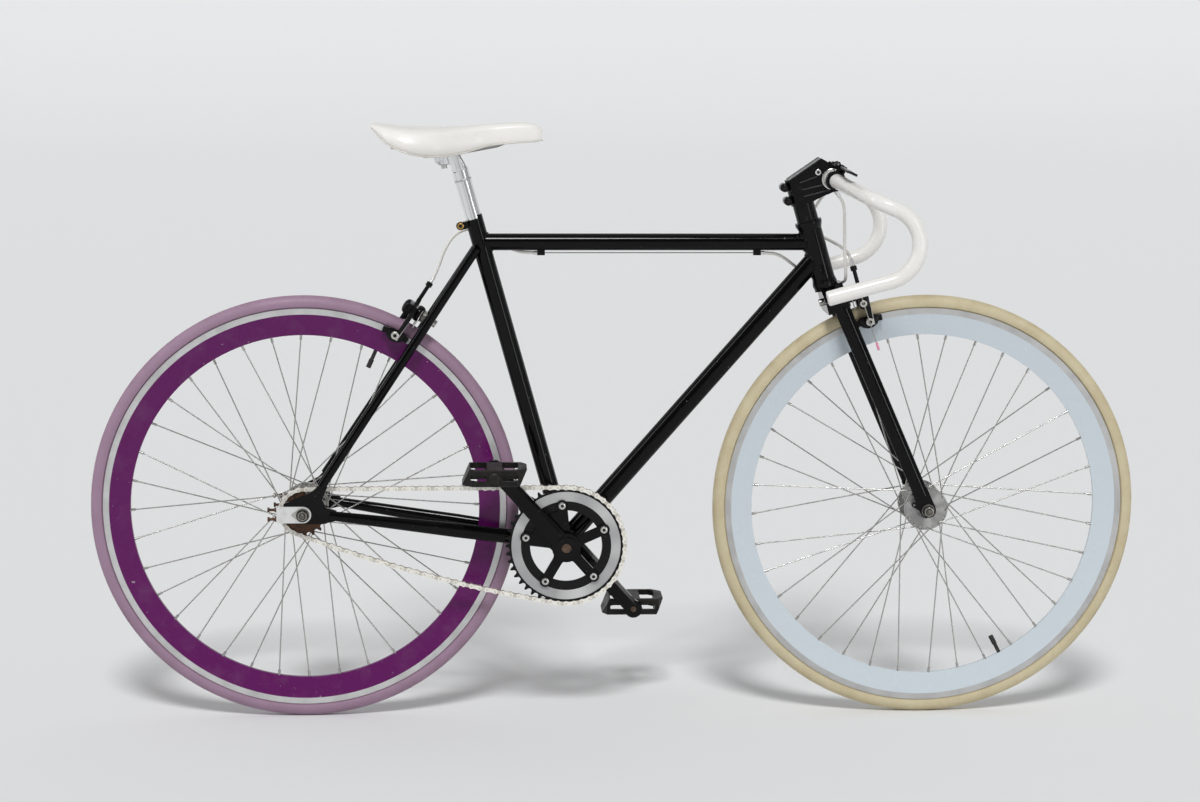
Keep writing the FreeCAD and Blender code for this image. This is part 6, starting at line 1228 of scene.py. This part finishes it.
class BICYCLE_OT_bolts(bpy.types.Operator):
    """Adds bolt heads and washers, axle nuts, the slots of the tensioners and the pedals' caps"""

    bl_idname = "bicycle.bolts"
    bl_label = "Fit bolts and caps"

    def execute(self, context):
        colours = context.scene.bicycle_colours
        bright = steel("socket_bolt_steel", shade(210, 209, 206), 0.24, 0.25)
        dark = steel("dark_bolt_steel", shade(44, 43, 42), 0.32, 0.5)
        ring_bolts = []
        for number in range(5):
            turn = math.radians(RING_BOLT_TURN + 72.0 * number)
            arm = Vector((math.cos(turn), 0.0, math.sin(turn))) * RING_BOLT_CIRCLE
            ring_bolts.append((BRACKET + arm - ACROSS * RING_BOLT_FACE, -ACROSS, *RING_BOLT))
        bolt_set("ring_bolt_heads", "crankset", bright, ring_bolts)
        brass = steel("brass_socket_bolt", colours.brass, 0.28, 0.45)
        bolt_set("seat_clamp_head", "frame", brass,
                 [(SEAT_CLAMP - ACROSS * CLAMP_BOLT_FACE, -ACROSS, *SEAT_BOLT)])
        add_turned("seat_clamp_washer", CLAMP_WASHER, SEAT_CLAMP - ACROSS * CLAMP_FACE, -ACROSS, 32,
                   "frame", dark)
        stem_bolts = [(place - ACROSS * EAR_BOLT_FACE, -ACROSS, *EAR_BOLT) for place in STEM_EARS]
        for place in FACE_BOLTS:
            for _, sign in SIDES:
                seat = place + ACROSS * sign * FACE_BOLT_OFFSET - HEAD_AHEAD * FACE_BOLT_SINK
                stem_bolts.append((seat, HEAD_AHEAD, *FACE_BOLT))
        bolt_set("stem_bolt_heads", "steering", dark, stem_bolts)

        for name, axle, half, body in (("front", FRONT_AXLE, 0.0639, "steering"),
                                       ("rear", REAR_AXLE, 0.0774, "frame")):
            nuts = [mesh for _, sign in SIDES
                    for mesh in axle_nut(axle + ACROSS * sign * half, ACROSS * sign)]
            worn = steel(name + "_nut_steel", shade(150, 147, 140), 0.34, 0.45)
            piece = add_joined(name + "_axle_nuts", nuts, body, worn)
            # The nuts' ring and face disc take the near-black as painted shade.
            piece.data.materials.append(grime_and_painted_shade())
            piece.data.materials.append(steel(name + "_stub_steel", shade(112, 110, 105), 0.4, 0.5))

        slots = []
        for (_, sign), corner in zip(SIDES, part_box("chain_tensioners")):
            outline = [(ahead * -sign, height) for ahead, height in TENSIONER_SLOT]
            origin = Vector((REAR_AXLE.x, corner[1] - sign * SLOT_SINK, REAR_AXLE.z))
            slots.append(plate_mesh("slot", outline, origin, Vector((-sign, 0, 0)), UP, 0.0009, 0.0003))
        slot_alloy = silver_turned("tensioner_slot_alloy", shade(186, 185, 182))
        add_joined("tensioner_slots", slots, "frame", slot_alloy)

        plastic = worn_plastic("pedal_cap_plastic", shade(30, 28, 27))
        for (side, sign), place in zip(SIDES, PEDAL_ENDS):
            add_turned(side + "_pedal_cap", PEDAL_CAP, place, ACROSS * sign, 32, side + "_pedal", plastic)
        return {"FINISHED"}


# Ahead of and above the handlebar's middle
STEM_BARS = (((-0.0505, 0.0085), (-0.022, 0.0105)), ((-0.0505, -0.003), (-0.011, -0.005)),
             ((-0.0505, -0.0140), (-0.008, -0.0150)))
STEM_EDGE = ((-0.0655, 0.0166), (-0.037, 0.0262), (-0.0085, 0.0358))
CLAMP_BOLT = (-0.0186, 0.0165)

STEM_SIDE = 0.0161
STEM_EDGE_SIDE = 0.0198
CLAMP_BOLT_SIDE = 0.0199
CLAMP_RING_SIDE = 0.0209
BAR_HALF_WIDTH = 0.0011


class BICYCLE_OT_stem_details(bpy.types.Operator):
    """Adds the bars, ears and top edges of the stem in a lighter grey as painted highlights, and the bright
    rings and bolts at the handlebar
    """

    bl_idname = "bicycle.stem_details"
    bl_label = "Add stem details"

    def execute(self, context):
        # The ribs and top edges are a lighter grey than the stem: painted highlights on the gloss ridges
        # and edges, with rubbed patches.
        worn = black_satin("stem_rib_highlight_grey", shade(58, 58, 60), 0.5)

        def spot(ahead, above, aside=0.0):
            return BAR_CENTRE + HEAD_AHEAD * ahead + HEAD_UP * above + ACROSS * aside

        bars = []
        for _, sign in SIDES:
            for start, end in STEM_BARS:
                first, last = spot(*start), spot(*end)
                length = (last - first).length
                run = (last - first).normalized()
                origin = (first if sign == LEFT else last) + ACROSS * sign * STEM_SIDE
                outline = [(along * length, height * BAR_HALF_WIDTH)
                           for along, height in ((0, -1), (1, -1), (1, 1), (0, 1))]
                upward = ACROSS.cross(run)
                bars.append(plate_mesh("bar", outline, origin, run * sign, upward, 0.0043, 0.0005))
        add_joined("stem_ribs", bars, "steering", worn)
        edges = []
        for _, sign in SIDES:
            places = [spot(*place, sign * STEM_EDGE_SIDE) for place in STEM_EDGE]
            edges.append(tube_mesh("edge", places, 0.0006, False, 2))
        # Thin cords along the top edges as a painted highlight line.
        add_joined("stem_highlight_edges", edges, "steering", worn)
        rings = [turned_mesh("ring", CLAMP_RING, spot(0.0, 0.0, sign * CLAMP_RING_SIDE), ACROSS * sign, 48)
                 for _, sign in SIDES]
        bright = steel("bar_clamp_steel", shade(222, 222, 220), 0.2, 0.1)
        add_joined("bar_clamp_rings", rings, "steering", bright)
        ears = [turned_mesh("ear", STEM_EAR, place - ACROSS * EAR_FACE, ACROSS, 32) for place in STEM_EARS]
        ear_alloy = black_satin("stem_ear_alloy", shade(7, 7, 8), 0.1)
        add_joined("stem_ears", ears, "steering", ear_alloy)
        heads = [(spot(*CLAMP_BOLT, sign * CLAMP_BOLT_SIDE), ACROSS * sign, *BAR_BOLT) for _, sign in SIDES]
        bolt_set("bar_clamp_bolts", "steering", bright, heads)
        return {"FINISHED"}


# Weld beads, in metres

BEAD_STEPS = 132
BEAD_RIPPLE = (1.0, 0.86, 0.78, 0.86)
TOP_TUBE = (Vector((0.05, 0.0, 0.7576)), 0.0133)
DOWN_TUBE = (Vector((0.11228, 0.0, 0.50188)), 0.015)
DOWN_TUBE_UP = Vector((0.36728, 0.0, 0.42064)).normalized()
SEAT_TUBE_RADIUS = 0.014
HEAD_TUBE_RADIUS = 0.018
SHELL_RADIUS = 0.020


def bead_mesh(start, radius, along, other, other_along, other_radius, bead):
    """A rippled bead where a tube, followed from a point, meets the wall of another tube."""
    along = Vector(along).normalized()
    other_along = Vector(other_along).normalized()
    first = (ACROSS - along * ACROSS.dot(along)).normalized()
    second = along.cross(first)
    curve = bpy.data.curves.new("bead", "CURVE")
    curve.dimensions = "3D"
    curve.bevel_depth = bead
    curve.bevel_resolution = 2
    spline = curve.splines.new("POLY")
    spline.points.add(BEAD_STEPS - 1)
    for number, place in enumerate(spline.points):
        turn = math.tau * number / BEAD_STEPS
        point = start + (first * math.cos(turn) + second * math.sin(turn)) * radius
        offset = point - other
        across = offset - other_along * offset.dot(other_along)
        slope = along - other_along * along.dot(other_along)
        a, b, c = slope.dot(slope), 2 * across.dot(slope), across.dot(across) - other_radius ** 2
        inside = max(b * b - 4 * a * c, 0.0)
        place.co = (*(point + along * (-b - math.sqrt(inside)) / (2 * a)), 1.0)
        place.radius = BEAD_RIPPLE[number % len(BEAD_RIPPLE)]
    spline.use_cyclic_u = True
    return smooth(curve_mesh("bead", curve))


class BICYCLE_OT_welds(bpy.types.Operator):
    """Lays weld beads where the frame's tubes meet"""

    bl_idname = "bicycle.welds"
    bl_label = "Lay weld beads"

    def execute(self, context):
        bead = context.scene.bicycle_sizes.weld
        black = black_gloss("weld_paint", context.scene.bicycle_colours.black_paint)
        seat_tube = (BRACKET + SEAT_UP * 0.2, SEAT_TUBE_RADIUS)
        seat_wall = (BRACKET, SEAT_UP, SEAT_TUBE_RADIUS)
        head_wall = (STEER_FOOT, HEAD_UP, HEAD_TUBE_RADIUS)
        shell_wall = (BRACKET, ACROSS, SHELL_RADIUS)
        joints = ((TOP_TUBE, (1, 0, 0), head_wall), (TOP_TUBE, (-1, 0, 0), seat_wall),
                  (DOWN_TUBE, DOWN_TUBE_UP, head_wall), (DOWN_TUBE, -DOWN_TUBE_UP, shell_wall),
                  (seat_tube, -SEAT_UP, shell_wall))
        beads = [bead_mesh(*tube, along, *wall, bead) for tube, along, wall in joints]
        add_joined("weld_beads", beads, "frame", black)
        return {"FINISHED"}


# Stage, in metres and degrees

FLOOR_DISH = ((0.0, 0.0), (22.0, 0.0), (26.0, 0.6), (29.0, 2.4), (31.0, 7.0))
SUN_PLACE = (-0.15, -2.6, 3.6)
SUN_ANGLE = 14.0
STRIP_PLACES = (("left_strip", (-2.9, -0.9, 2.4)), ("right_strip", (2.6, -2.9, 1.0)))
STRIP_WIDTH = 0.3
STRIP_LENGTH = 2.4
AIM = Vector((0.0, 0.0, 0.5))
CAMERA_PLACE = (-0.214, -4.151, 1.108)
CAMERA_YAW = 2.6
CAMERA_PITCH = 8.25
CAMERA_ROLL = -0.23


def staged(name, data):
    """A lamp, camera or mesh as an object of the scene."""
    holder = bpy.data.objects.new(name, data)
    bpy.context.scene.collection.objects.link(holder)
    return holder


def aimed_lamp(lamp, place):
    """A lamp at a place, aimed at the bicycle."""
    holder = staged(lamp.name, lamp)
    holder.location = place
    holder.rotation_euler = (AIM - Vector(place)).to_track_quat("-Z", "Y").to_euler()
    return holder


def graded_surround(level):
    """White light all round, weaker from the camera's side."""
    world = bpy.data.worlds.new("surround")
    world.use_nodes = True
    nodes = world.node_tree.nodes
    nodes["Background"].inputs["Color"].default_value = (1.0, 1.0, 1.0, 1.0)
    parts = nodes.new("ShaderNodeSeparateXYZ")
    fade = nodes.new("ShaderNodeMapRange")
    for socket, number in (("From Min", -0.9), ("From Max", 0.4), ("To Min", level * 0.2),
                           ("To Max", level * 1.15)):
        fade.inputs[socket].default_value = number
    for source, target in ((nodes.new("ShaderNodeTexCoord").outputs["Generated"], parts.inputs[0]),
                           (parts.outputs["Y"], fade.inputs["Value"]),
                           (fade.outputs["Result"], nodes["Background"].inputs["Strength"])):
        world.node_tree.links.new(source, target)
    return world


def camera_axes():
    """The camera's axes, from its yaw, pitch and roll."""
    yaw, pitch, roll = math.radians(CAMERA_YAW), math.radians(CAMERA_PITCH), math.radians(CAMERA_ROLL)
    ahead = Vector((math.sin(yaw) * math.cos(pitch), math.cos(yaw) * math.cos(pitch), -math.sin(pitch)))
    right = Vector((math.cos(yaw), -math.sin(yaw), 0.0))
    down = ahead.cross(right)
    turned_right = right * math.cos(roll) + down * math.sin(roll)
    turned_down = down * math.cos(roll) - right * math.sin(roll)
    return Matrix((turned_right, -turned_down, -ahead)).transposed().to_4x4()


class BICYCLE_OT_stage(bpy.types.Operator):
    """Sets up the pale floor, the soft light and the camera"""

    bl_idname = "bicycle.stage"
    bl_label = "Set stage"

    def execute(self, context):
        settings = context.scene.bicycle_stage
        ground = staged("pale_floor", turned_mesh("pale_floor", FLOOR_DISH, (0, 0, 0), UP, 64))
        ground.data.materials.append(Finish("pale_floor", settings.floor, 0.9, specular=0.0).material)

        sun = bpy.data.lights.new("soft_sun", "SUN")
        sun.energy = settings.sun
        sun.angle = math.radians(SUN_ANGLE)
        aimed_lamp(sun, SUN_PLACE)
        unlit = bpy.data.collections.new("unlit_by_strips")
        unlit.objects.link(ground)
        unlit.collection_objects[0].light_linking.link_state = "EXCLUDE"
        for name, place in STRIP_PLACES:
            strip = bpy.data.lights.new(name, "AREA")
            strip.shape = "RECTANGLE"
            strip.size = STRIP_WIDTH
            strip.size_y = STRIP_LENGTH
            strip.energy = settings.lamp
            aimed_lamp(strip, place).light_linking.receiver_collection = unlit

        context.scene.world = graded_surround(settings.surround)
        context.scene.view_settings.view_transform = "Standard"
        lens = bpy.data.cameras.new("camera")
        lens.sensor_fit = "HORIZONTAL"
        lens.sensor_width = 36.0
        lens.lens = settings.lens
        camera = staged("camera", lens)
        camera.matrix_world = Matrix.Translation(CAMERA_PLACE) @ camera_axes()
        context.scene.camera = camera
        return {"FINISHED"}


class BICYCLE_PT_pieces(bpy.types.Panel):
    """Lists the bicycle's pieces and settings"""

    bl_label = "Bicycle"
    bl_space_type = "VIEW_3D"
    bl_region_type = "UI"
    bl_category = "Bicycle"

    def draw(self, context):
        for operator in OPERATORS:
            self.layout.operator(operator.bl_idname)
        for group in (context.scene.bicycle_colours, context.scene.bicycle_sizes,
                      context.scene.bicycle_stage):
            for name in group.bl_rna.properties.keys():
                if name not in ("rna_type", "name"):
                    self.layout.prop(group, name)


OPERATORS = (BICYCLE_OT_stage, BICYCLE_OT_cables, BICYCLE_OT_paint_frame, BICYCLE_OT_finish_wheels,
             BICYCLE_OT_finish_drive, BICYCLE_OT_finish_front, BICYCLE_OT_finish_brakes,
             BICYCLE_OT_finish_seat, BICYCLE_OT_saddle, BICYCLE_OT_brake_fittings, BICYCLE_OT_bolts,
             BICYCLE_OT_stem_details, BICYCLE_OT_welds)
CLASSES = (BicycleColours, BicycleSizes, BicycleStage) + OPERATORS + (BICYCLE_PT_pieces,)


def register():
    for one in CLASSES:
        bpy.utils.register_class(one)
    bpy.types.Scene.bicycle_colours = bpy.props.PointerProperty(type=BicycleColours)
    bpy.types.Scene.bicycle_sizes = bpy.props.PointerProperty(type=BicycleSizes)
    bpy.types.Scene.bicycle_stage = bpy.props.PointerProperty(type=BicycleStage)


def unregister():
    del bpy.types.Scene.bicycle_stage
    del bpy.types.Scene.bicycle_sizes
    del bpy.types.Scene.bicycle_colours
    for one in reversed(CLASSES):
        bpy.utils.unregister_class(one)


def main():
    register()
    bpy.ops.bicycle.stage()
    bpy.ops.bicycle.cables()
    bpy.ops.bicycle.paint_frame()
    bpy.ops.bicycle.finish_wheels()
    bpy.ops.bicycle.finish_drive()
    bpy.ops.bicycle.finish_front()
    bpy.ops.bicycle.finish_brakes()
    bpy.ops.bicycle.finish_seat()
    bpy.ops.bicycle.saddle()
    bpy.ops.bicycle.brake_fittings()
    bpy.ops.bicycle.bolts()
    bpy.ops.bicycle.stem_details()
    bpy.ops.bicycle.welds()


if __name__ == "__main__":
    main()
